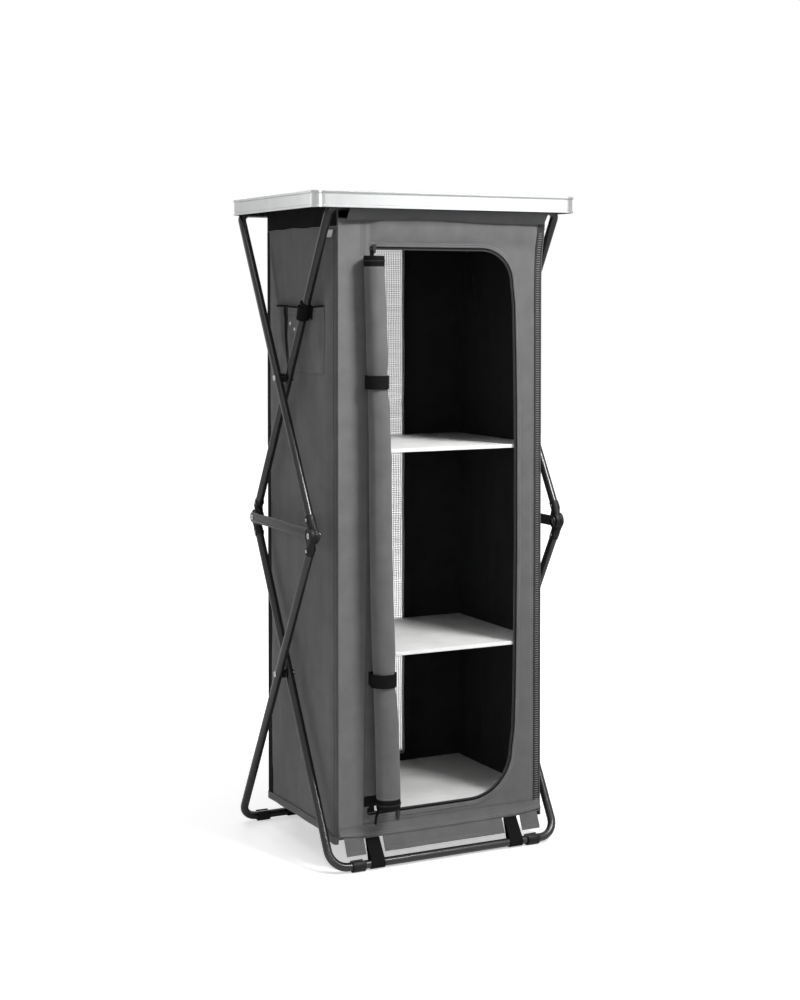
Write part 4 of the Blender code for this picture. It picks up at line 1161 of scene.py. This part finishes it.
boards = (("base_board", "cabinet"), ("lower_shelf", "lower_shelf"), ("upper_shelf", "upper_shelf"))
for (name, body), top in zip(boards, shelf_levels):
    low = (-half_board_x, board_front_y + 0.0012, top - 0.006)
    panel = bevelled_box(low, (half_board_x, board_back_y, top), 0.0008)
    board = piece(f"{name}_panel", panel, shelf_board, 30)
    fit(board, body, "shelf_board", name)
    low = (-half_board_x + 0.0003, board_front_y - 0.0004, top - 0.0064)
    high = (half_board_x - 0.0003, board_front_y + 0.0060, top + 0.0005)
    lip = bevelled_box(low, high, 0.0004)
    fit(piece(f"{name}_binding", lip, edge_binding, 30), body, "shelf_board")

# Zip. A D-shaped zip closes the door: its black tape is sewn round the opening's right part, with
# moulded teeth along the inner edge and two metal sliders with their pulls.
fold_inner, fold_outer = 0.0060, 0.0138
# moulded polyoxymethylene teeth: near black, smooth
teeth_tones = ("#131314", "#1d1d1e")
moulded_teeth = finish("moulded_zip_teeth", "#171718", 0.45, teeth_tones, 200)[0]
# lacquered zinc of the sliders: dark, glossy metal
lacquer_tones = ("#303032", "#4a4a4c")
black_zinc = finish("black_lacquered_zinc", "#3a3a3c", 0.3, lacquer_tones, 250, 0.85)[0]


def door_line(grow, count, lift):
    """A line round the opening's right part, at a distance outside its edge."""
    edge = door_edge(grow)
    return [on_front(x, z, lift) for x, z in [*resampled(edge, count), edge[-1]]]


def door_band(name, low, high, lift, look, thickness, slot, *nodes):
    """A band that follows the door's opening between two distances from its edge."""
    rows = [door_line(grow, 260, lift) for grow in even(low, high, 3)]
    lengths = lengths_along(rows[0])
    return sewn(
        name, rows, look, thickness, outside_front, *nodes, slot=slot,
        chart=lambda i, j, p: (lengths[j], (high - low) * i / 3),
    )


door_band(
    "door_zip_band", 0.0004, 0.0074, 0.0009, black_webbing, 0.0009, "black_webbing",
    "door_zip_tape",
)
# the front's own edge is folded over the tape and sewn down with two rows
door_band("door_zip_fold", fold_inner, fold_outer, 0.0019, grey_cloth, 0.0010, "grey_cloth")
tooth_tree = repeat_tree("zip_teeth", "GeometryNodeMeshCube")
path = [Vector(p) for p in door_line(0.0012, 900, 0.0012)]
teeth = [(a, a + (b - a) * 0.55) for a, b in zip(path, path[1:])]
size = (0.0016, 0.0024, 0.0018)
row = row_piece("door_zip_teeth", tooth_tree, teeth, size, outside_front, moulded_teeth)
cloth_fit(row, "black_webbing")
spans = spans_along(door_line(fold_inner + 0.0022, 260, 0.0021), 0.0042)
spans += spans_along(door_line(fold_outer - 0.0016, 260, 0.0021), 0.0042)
stitched("door_zip_stitches", spans, outside_front, half_length=0.0013, width=0.0007)
# the tape's two ends run down and up behind the rolled door
for word, low, high in (("upper", 1.146, 1.1655), ("lower", 0.1005, 0.133)):
    xs = even(-0.160, -0.1455, 4)
    rows = [[(x, cabinet_front_y - 0.0012, z) for x in xs] for z in even(low, high, 6)]
    sewn(
        f"door_tape_end_{word}", rows, black_webbing, 0.0010, outside_front, slot="black_webbing"
    )
tab_outline = arc_points((0, 0), 0.0034, 0, math.pi, 10) + [(-0.0026, -0.0110)]
tab_outline += arc_points((0, -0.0118), 0.0026, math.pi, math.tau, 8) + [(0.0026, -0.0110)]
tab_hole = arc_points((0, 0.0002), 0.0017, 0, math.tau, 14)[:-1]
for name in ("upper_zip_pull", "lower_zip_pull"):
    low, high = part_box(name)
    middle_x = (low.x + high.x) / 2
    carriage, bridge = (
        bevelled_box((middle_x - half, front, high.z - drop), (middle_x + half, back, top), 0.0004)
        for half, front, back, drop, top in (
            (0.0052, high.y - 0.0012, high.y, 0.0100, high.z),
            (0.0015, low.y + 0.0004, high.y - 0.0008, 0.0075, high.z - 0.0025),
        )
    )
    tab = plate_mesh([tab_outline, tab_hole], 0.0010, 0.0002)
    tab.transform(Matrix.Rotation(-math.pi / 2, 4, "Z"))
    tab.transform(Matrix.Translation((middle_x, low.y + 0.0010, high.z - 0.0040)))
    slider = piece(f"{name}_slider", merged([carriage, bridge, tab]), black_zinc, 30)
    fit(slider, name, "plated_steel", name)

# Door. One piece of the grey cloth, with black zip tape along its upper and lower ends, rolled up
# from its free edge towards the seam at the left, where two webbing straps hold it.
roll_low, roll_high = 0.115, 1.151
strap_levels = (0.916, 0.358)
roll_turns = 3.25


def roll_form(z):
    """The roll's middle and its outer radius at a height; the straps draw it in."""
    share = (z - roll_low) / (roll_high - roll_low)
    radius = 0.0268 - 0.0048 * share
    for level in strap_levels:
        radius *= 1 - 0.11 * math.exp(-(((z - level) / 0.028) ** 2))
    x = -0.133 - 0.025 * share + 0.0015 * math.sin(z * 9)
    return x, cabinet_front_y - 0.0046 - radius, radius


def roll_point(share, z, lift=0.0):
    """A place on the rolled cloth, from the core at share 0 out to its outer end at share 1."""
    x, y, radius = roll_form(z)
    turn = math.pi / 2 - math.tau * roll_turns * (1 - share)
    grow = 0.0065 + (radius - 0.0065) * share
    loose = 0.35 + 0.65 * share
    grow += loose * 0.0012 * noise.noise((math.cos(turn) * 1.2, math.sin(turn) * 1.2, z * 6))
    ridge = math.exp(-((((turn % math.tau) - math.radians(222)) / 0.16) ** 2))
    grow += 0.0016 * share * ridge * (0.6 + 0.4 * math.sin(z * 11))
    grow += lift
    return (x + grow * math.cos(turn), y + grow * math.sin(turn), z)


rows = []
roll_steps = 118
zip_hem = 0.020
plain_low, plain_high = roll_low + zip_hem, roll_high - zip_hem
heights = [roll_low, *even(plain_low, plain_high, 88), roll_high, roll_low + 0.010, roll_high - 0.010]
for z in sorted(heights):
    row = [roll_point(share, z) for share in even(0, 1, roll_steps)]
    last = Vector(row[-1])
    for share in even(0, 1, 5)[1:]:
        x = last.x + (min(seam_x(z), last.x - 0.002) - last.x) * share
        row.append((x, last.y + (cabinet_front_y - 0.0042 - last.y) * share, z))
    rows.append(row)
lengths = lengths_along(rows[40])
mesh = skin("roll", rows, None, lambda i, j, p: (lengths[j], p.z))
rolled = thickened("rolled_door_cloth", mesh, grey_cloth, 0.0012)
rolled.data.materials.append(black_webbing)
for face in rolled.data.polygons:
    if not plain_low < face.center.z < plain_high:
        face.material_index = 1
cloth_fit(rolled, "grey_cloth", "door_roll")
spans = []
for z in (plain_low + 0.003, plain_high - 0.003):
    spans += spans_along([roll_point(share, z, 0.0001) for share in even(1, 0.70, 40)])
stitched("rolled_door_stitches", spans, outside_front)
teeth = []
for z in (roll_low + 0.0095, roll_high - 0.0095):
    path = [roll_point(share, z, 0.0006) for share in even(1, 0.58, 60)]
    teeth += spans_along(path, 0.0030, 0.55)
size = (0.0014, 0.0026, 0.0018)
row = row_piece("rolled_door_teeth", tooth_tree, teeth, size, outside_front, moulded_teeth)
cloth_fit(row, "black_webbing")


def webbing(name, path, width_way, width, thickness):
    """A black strap of one width and thickness along a path, as a closed mesh with a flat chart."""
    path = [Vector(point) for point in path]
    half = Vector(width_way).normalized() * width / 2
    along = lengths_along(path)
    rows = [[point - half + half * 2 * i / 4 for i in range(5)] for point in path]
    mesh = skin(name, rows, None, lambda i, j, p: (width * j / 4, along[i]))
    return thickened(name, mesh, black_webbing, thickness, 0)


for level, word in zip(strap_levels, ("upper", "lower")):
    x, y, radius = roll_form(level)
    reach = radius + 0.0016
    start, end = math.radians(80), math.radians(-238)
    path = [(a, b, level) for a, b in arc_points((x, y), reach, start, end, 52)]
    path.append((min(x - 0.6 * reach, seam_x(level)), cabinet_front_y - 0.0030, level))
    strap = webbing(f"door_tie_{word}", path, (0, 0, 1), 0.025, 0.0014)
    cloth_fit(strap, "black_webbing", f"door_strap_{word}")
# the zip tape's loose end below the roll
bottom = Vector((*roll_form(roll_low)[:2], roll_low))
tail = [
    bottom + Vector((-0.016, 0.004, 0.012)), bottom + Vector((-0.019, 0.003, -0.004)),
    bottom + Vector((-0.024, 0.001, -0.016)), bottom + Vector((-0.027, -0.002, -0.027)),
]
cloth_fit(webbing("rolled_door_tail", tail, (0, 1, 0), 0.008, 0.0010), "black_webbing")

# Side pocket. A flat-cut patch of the same cloth on the left wall with a hemmed, slightly slack
# mouth and one pleat that splits it in two; sewn down on three sides.
pocket_front, pocket_back = middle_y - 0.126, middle_y + 0.096
pocket_low, pocket_high = 0.930, 1.058
pleat_y = middle_y + 0.051


def pocket_x(y, z, lift=0.0):
    """The pocket's outer face, slack towards its mouth and held at its sewn edges and pleat."""
    up = (z - pocket_low) / (pocket_high - pocket_low)
    ends = fade(y - pocket_front, 0.022) * fade(pocket_back - y, 0.022)
    held = fade(abs(y - pleat_y + 0.005), 0.012)
    rear_cell = 1.5 if y > pleat_y else 0.9
    slack = 0.0012 + 0.0066 * rear_cell * ends * held * fade(up, 0.6)
    slack += 0.0008 * ends * noise.noise((y * 40, z * 25, 3.0))
    return -(cabinet_x + side_bulge(y, z) + slack + lift)


def pocket_mouth(y):
    """The mouth's height; it hangs a little between its ends."""
    return pocket_high - 0.003 * math.sin(math.pi * min(1, (y - pocket_front) / 0.175))


def pocket_floor(y):
    """The lower edge's height, with a round rear corner."""
    corner = 0.016
    out = max(0.0, y - (pocket_back - corner))
    return pocket_low + corner - math.sqrt(max(0.0, corner**2 - out**2))


def mouth_line(drop, lift):
    """A line along the mouth, a drop above it and a little outside the pocket's face."""
    levels = [(y, pocket_mouth(y) + drop) for y in pocket_ys]
    return [(pocket_x(y, z, lift), y, z) for y, z in levels]


pocket_ys = even(pocket_front, pocket_back, 52)
rows = []
for up in even(0, 1, 26):
    levels = [(y, pocket_floor(y) + (pocket_mouth(y) - pocket_floor(y)) * up) for y in pocket_ys]
    rows.append([(pocket_x(y, z), y, z) for y, z in levels])
outside_left = (-1, 0, 0)
pocket = sewn(
    "pocket_patch", rows, lined_cloth, 0.0011, outside_left, "side_pocket", chart=side_chart
)
rows = [mouth_line(drop, 0.0009) for drop in even(0.0005, -0.0150, 4)]
sewn("pocket_mouth_hem", rows, grey_cloth, 0.0008, outside_left, chart=side_chart)
# a black binding along the mouth; its black paints the line of shade at the pocket's opening
rows = [mouth_line(drop, 0.0017) for drop in (0.0012, 0.0002, -0.0010, -0.0022)]
sewn("pocket_mouth_binding", rows, black_cloth, 0.0014, outside_left, chart=side_chart)
spans = spans_along(mouth_line(-0.0125, 0.0010)) + spans_along(mouth_line(-0.0030, 0.0010))
for y, low in (
    (pocket_front + 0.003, pocket_low + 0.002), (pocket_back - 0.003, pocket_low + 0.012),
    (pleat_y - 0.0015, pocket_low + 0.002), (pleat_y + 0.0015, pocket_low + 0.002),
):
    zs = even(low, pocket_high - 0.004, 20)
    spans += spans_along([(pocket_x(y, z, 0.0001), y, z) for z in zs])
low = pocket_low + 0.003
spans += spans_along([(pocket_x(y, low, 0.0001), y, low) for y in pocket_ys[:49]])
stitched("pocket_stitches", spans, outside_left)
# the pleat is folded under, and a strip of the black lining in it paints the deep shade of the fold
rows = []
for z in even(pocket_low + 0.006, pocket_high - 0.0005, 24):
    lift = 0.0005 + 0.0018 * fade(z - pocket_high + 0.024, 0.008)
    width = 0.0105 + 0.0085 * fade(z - pocket_low, pocket_high - pocket_low)
    rows.append([(pocket_x(y, z, lift), y, z) for y in even(pleat_y - width, pleat_y + 0.0005, 4)])
sewn("pocket_pleat_fold", rows, black_lining, 0.0009, outside_left, chart=side_chart)
# two snap buttons set one below the other
spans = []
for y, z in ((middle_y + 0.020, 1.023), (middle_y - 0.001, 1.012)):
    place = Vector((pocket_x(y, z, 0.0004), y, z))
    spans.append((place, place - Vector((0.0004, 0, 0))))
size = (0.0040, 0.0040, 0.0016)
snaps = row_piece("pocket_snaps", small_rivets, spans, size, (0, 0, 1), zinc_plate)
cloth_fit(snaps, "plated_steel")

# Care label. A small folded strip of white tape, sewn into the left wall near the top; blank.
white_tape = finish("white_satin_tape", "#f6f6f5", 0.5, ("#f0f0ef", "#fafaf9"), 90)[0]
label_front = middle_y - 0.158
rows = []
for share in even(0, 1, 6):
    z = 1.186 + 0.014 * share
    curl = 0.0035 * (1 - share) ** 2
    ys = even(label_front, label_front + 0.037, 12)
    rows.append([on_side(-1, y, z, 0.0008 + curl) for y in ys])
sewn("blank_label", rows, white_tape, 0.0005, outside_left, chart=side_chart)

# Top sleeves. The cabinet hangs from the top bars in two cloth sleeves; below each one a darker
# band covers the seam to the front or back wall. The saddles' places are left free.
sleeve_half = 0.180
for name, body, bar_y, wall_y, outward in (
    ("top_front_sleeve", "front_saddles", front_top_y, cabinet_front_y, -1),
    ("top_rear_sleeve", "rear_saddles", back_top_y, cabinet_back_y, 1),
):
    reach = 0.0098
    arc = arc_points((0, 0), reach, math.radians(-25), math.radians(215), 26)
    profile = [
        (wall_y + outward * 0.0012, 1.2190), (wall_y + outward * 0.0040, 1.2270),
        *[(bar_y + outward * a, top_bar_z + b) for a, b in arc],
        (wall_y + outward * 0.0030, 1.2290), (wall_y + outward * 0.0006, 1.2200),
    ]
    rows = []
    for x in even(-sleeve_half, sleeve_half, 72):
        row = []
        for j, (y, z) in enumerate(profile):
            ripple = 0.0006 * noise.noise((x * 26, j * 0.35, outward * 5.0))
            row.append((x, y + outward * ripple, z + ripple))
        rows.append(row)
    mesh = skin(name, rows, None, lambda i, j, p: (p.x, 0.004 * j))
    # the sleeve and the valance below it take the darker cloth, painted shade for the tabletop's
    # shadow over them
    sleeve = thickened(f"{name}_cloth", mesh, dark_cloth, 0.0013, 0)
    fit(sleeve, body, "grey_cloth", name)
    tube = f"upper_{'front' if outward < 0 else 'back'}_tube"
    # the valance slants from the seam out to the bar; its lower edge is pulled up in the middle
    rows = []
    for share in even(0, 1, 6):
        row = []
        for x in even(-0.207, 0.2192, 70):
            low = 1.2160 + 0.0042 * fade(0.17 - abs(x + 0.05), 0.15)
            wave = 0.0007 * noise.noise((x * 18, share * 2, outward * 8.0))
            y = wall_y + outward * (0.0112 + 0.0182 * share + wave)
            row.append((x, y, low + (1.2376 - low) * share))
        rows.append(row)
    mesh = skin("valance", rows, (0, outward, 0), lambda i, j, p: (p.x, 0.005 * i))
    word = "front" if outward < 0 else "rear"
    fit(thickened(f"{word}_valance", mesh, dark_cloth, 0.0010), body, "grey_cloth")

# Floor straps. Black webbing loops sewn to the cabinet's lower edges run round the floor bars; at
# the back they close with hook-and-loop and stay on the bar when the frame folds.
for name, body, bar_y, wall_y, outward in (
    ("front_floor_strap", "cabinet", front_bar_y, cabinet_front_y, -1),
    ("rear_floor_strap", "lower_back", back_bar_y, cabinet_back_y, 1),
):
    for side, word in sides:
        low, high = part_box(f"{name}_{word}")
        middle_x = (low.x + high.x) / 2
        reach = tube_radius + 0.0012
        start_y = wall_y + outward * 0.0022
        arc = arc_points((0, 0), reach, math.radians(28), math.radians(-206), 30)
        path = [
            (middle_x, start_y, high.z - 0.0006),
            (middle_x, start_y + outward * 0.0010, high.z - 0.012),
            *[(middle_x, bar_y + outward * a, floor_bar_z + b) for a, b in arc],
            (middle_x, start_y - outward * 0.0008, high.z - 0.013),
            (middle_x, start_y - outward * 0.0014, high.z - 0.0010),
        ]
        strap = webbing(f"{name}_loop_{word}", path, (1, 0, 0), 0.028, 0.0013)
        fit(strap, body, "black_webbing", f"{name}_{word}")
        spans = []
        for up in (0.003, 0.006):
            z = high.z - up
            xs = even(low.x + 0.003, low.x + 0.025, 8)
            spans += spans_along([(x, start_y + outward * 0.0009, z) for x in xs], 0.0030)
        stitched(f"{name}_stitches_{word}", spans, (0, outward, 0), body=body)

# Bottom flap. A strip of the grey cloth below the door sill, hemmed and cut out round the two
# floor straps, so that it hangs in three parts in front of the floor bar.
low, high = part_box("bottom_flap")
flap_top_z, flap_low_z = high.z, low.z
flap_top_y, flap_low_y = high.y, low.y
flap_half = 0.210
strap_x = 0.150
notch_half = 0.020
web_z = flap_top_z - 0.0100
spots = (
    (-flap_half, flap_half), (-flap_half, -strap_x - notch_half),
    (-strap_x + notch_half, strap_x - notch_half), (strap_x + notch_half, flap_half),
)


def flap_place(x, z, lift=0.0):
    """A place on the flap, which leans forwards and waves towards its lower edge."""
    share = (flap_top_z - z) / (flap_top_z - flap_low_z)
    y = flap_top_y + (flap_low_y - flap_top_y) * share
    wave = 0.0022 * share * noise.noise((x * 17, z * 12, 31.0))
    return (x, y - lift - abs(wave), z)


spans = []
for index, (from_x, to_x) in enumerate(spots):
    line = even(from_x, to_x, max(6, int((to_x - from_x) / 0.005)))
    levels = even(web_z, flap_low_z, 6) if index else even(flap_top_z, web_z, 2)
    rows = [[flap_place(x, z) for x in line] for z in levels]
    mesh = skin("flap", rows, outside_front)
    name = "flap_head" if index == 0 else f"flap_part_{index}"
    part = thickened(name, mesh, grey_cloth, 0.0012)
    if index == 0:
        fit(part, "cabinet", "grey_cloth", "bottom_flap")
    else:
        fit(part, "cabinet", "grey_cloth")
        for lift in (0.003, 0.006):
            spans += spans_along([flap_place(x, flap_low_z + lift, 0.0001) for x in line])
    lean = (flap_top_y - flap_low_y) / (flap_top_z - flap_low_z)
stitched("flap_stitches", spans, outside_front, body="cabinet")

# Tie strap. A black hook-and-loop band on the cabinet's left wall goes loosely round the upper
# front tube, over itself, and keeps the wall from swinging. It is undone before folding.
tie_middle = Vector((-inner_leg_x, middle_y - 0.0765, 0))
tie_middle.z = top_bar_z - (tie_middle.y - front_top_y) * math.tan(leg_angle)
tube_way = (run - rise).normalized()
out_way = Vector((1, 0, 0))
round_way = tube_way.cross(out_way).normalized()
path = [
    tie_middle + out_way * 0.0225 + round_way * 0.0160,
    tie_middle + out_way * 0.0190 + round_way * 0.0125,
    tie_middle + out_way * 0.0120 + round_way * 0.0100,
]
for share in even(0, 1, 80):
    turn = math.radians(62) + math.radians(640) * share
    loose = 0.0096 + 0.0034 * share + 0.0022 * math.sin(turn * 1.5 + 0.4) * share
    drift = -0.0085 + 0.0170 * share
    around = out_way * math.cos(turn) + round_way * math.sin(turn)
    path.append(tie_middle + around * loose + tube_way * drift)
last, before = path[-1], path[-2]
onward = (last - before).normalized()
path += [last + onward * 0.007, last + onward * 0.013 - tube_way * 0.003]
tie = webbing("tube_tie_strap", path, tube_way + round_way * 0.25, 0.025, 0.0013)
fit(tie, "upper_front", "black_webbing")

# Studio. A white floor that takes the soft shadow, a white surround for the camera and the
# reflections, large soft lights, and the camera where the photograph was taken from.
studio_white, tree, shader = surface("studio_white_floor", "#f2f2f2", 0.9)
# seen by the camera, the floor glows a little, and fully from two metres out, so that it ends in
# the white surround without a line and still takes the shadow
where = add(tree, "ShaderNodeTexCoord").outputs["Object"]
away = add(tree, "ShaderNodeVectorMath", {0: where}, operation="LENGTH")
glow = add(tree, "ShaderNodeMapRange", {0: away.outputs["Value"], 1: 0.7, 2: 2.0, 3: 0.52, 4: 1.0})
ray = add(tree, "ShaderNodeLightPath")
seen = {0: glow.outputs[0], 1: ray.outputs["Is Camera Ray"]}
shown = add(tree, "ShaderNodeMath", seen, operation="MULTIPLY")
shader.inputs["Emission Color"].default_value = (1, 1, 1, 1)
tree.links.new(shown.outputs[0], shader.inputs["Emission Strength"])
shape = bmesh.new()
bmesh.ops.create_grid(shape, x_segments=2, y_segments=2, size=9)
floor = piece("studio_floor", plain_mesh(shape, "studio_floor"), studio_white)
world = bpy.data.worlds.new("studio")
bpy.context.scene.world = world
world.use_nodes = True
tree = world.node_tree
sky = tree.nodes["Background"]
# full white for the camera, a dim surround for the cloth and a half-bright one for reflections
ray = add(tree, "ShaderNodeLightPath")
seen = {0: ray.outputs["Is Camera Ray"], 1: 0.72, 2: 0.28}
level = add(tree, "ShaderNodeMath", seen, operation="MULTIPLY_ADD")
mirrored = {0: ray.outputs["Is Glossy Ray"], 1: 0.30, 2: level.outputs[0]}
level = add(tree, "ShaderNodeMath", mirrored, operation="MULTIPLY_ADD")
tree.links.new(level.outputs[0], sky.inputs["Strength"])
sky.inputs["Color"].default_value = (1, 1, 1, 1)


def soft_light(name, place, aim, width, height, watts, spread=180):
    """A rectangular soft lamp that faces a point."""
    lamp = bpy.data.lights.new(name, "AREA")
    lamp.shape = "RECTANGLE"
    lamp.size, lamp.size_y = width, height
    lamp.energy = watts
    lamp.spread = math.radians(spread)
    obj = linked(name, lamp)
    obj.location = place
    obj.rotation_euler = (Vector(aim) - Vector(place)).to_track_quat("-Z", "Y").to_euler()


# the softbox's grid keeps its light on the upper half, so the cloth darkens towards the floor
soft_light("front_softbox", (1.0, -2.2, 2.9), (0, 0, 1.30), 0.9, 0.9, 17, 62)
soft_light("top_softbox", (-0.35, -1.0, 5.4), (0, 0, 0.6), 3.7, 2.8, 87)
soft_light("camera_strip", (-2.3, -3.5, 1.4), (0, 0, 0.8), 0.14, 2.0, 15)
soft_light("rear_left_card", (-2.4, 2.3, 1.4), (0, 0, 1.1), 1.6, 1.6, 5.2)
soft_light("front_right_card", (1.9, -3.0, 1.5), (0, 0, 1.25), 1.2, 1.2, 5.0)
soft_light("rear_softbox", (0.8, 3.3, 2.1), (0, 0, 0.8), 1.4, 1.4, 18)
# the camera's place, turn and lens come from a fit to the tabletop, the bars and the joints in the
# photo
camera_data = bpy.data.cameras.new("photo_camera")
camera_data.lens = 65.07
camera_data.sensor_width = 36
camera_data.shift_y = -0.1389
camera = linked("photo_camera", camera_data)
camera.location = (-1.6284, -3.2078, 1.0728)
camera.rotation_euler = (math.radians(88), 0, math.radians(-26.809))
bpy.context.scene.camera = camera
bpy.context.scene.view_settings.view_transform = "Standard"
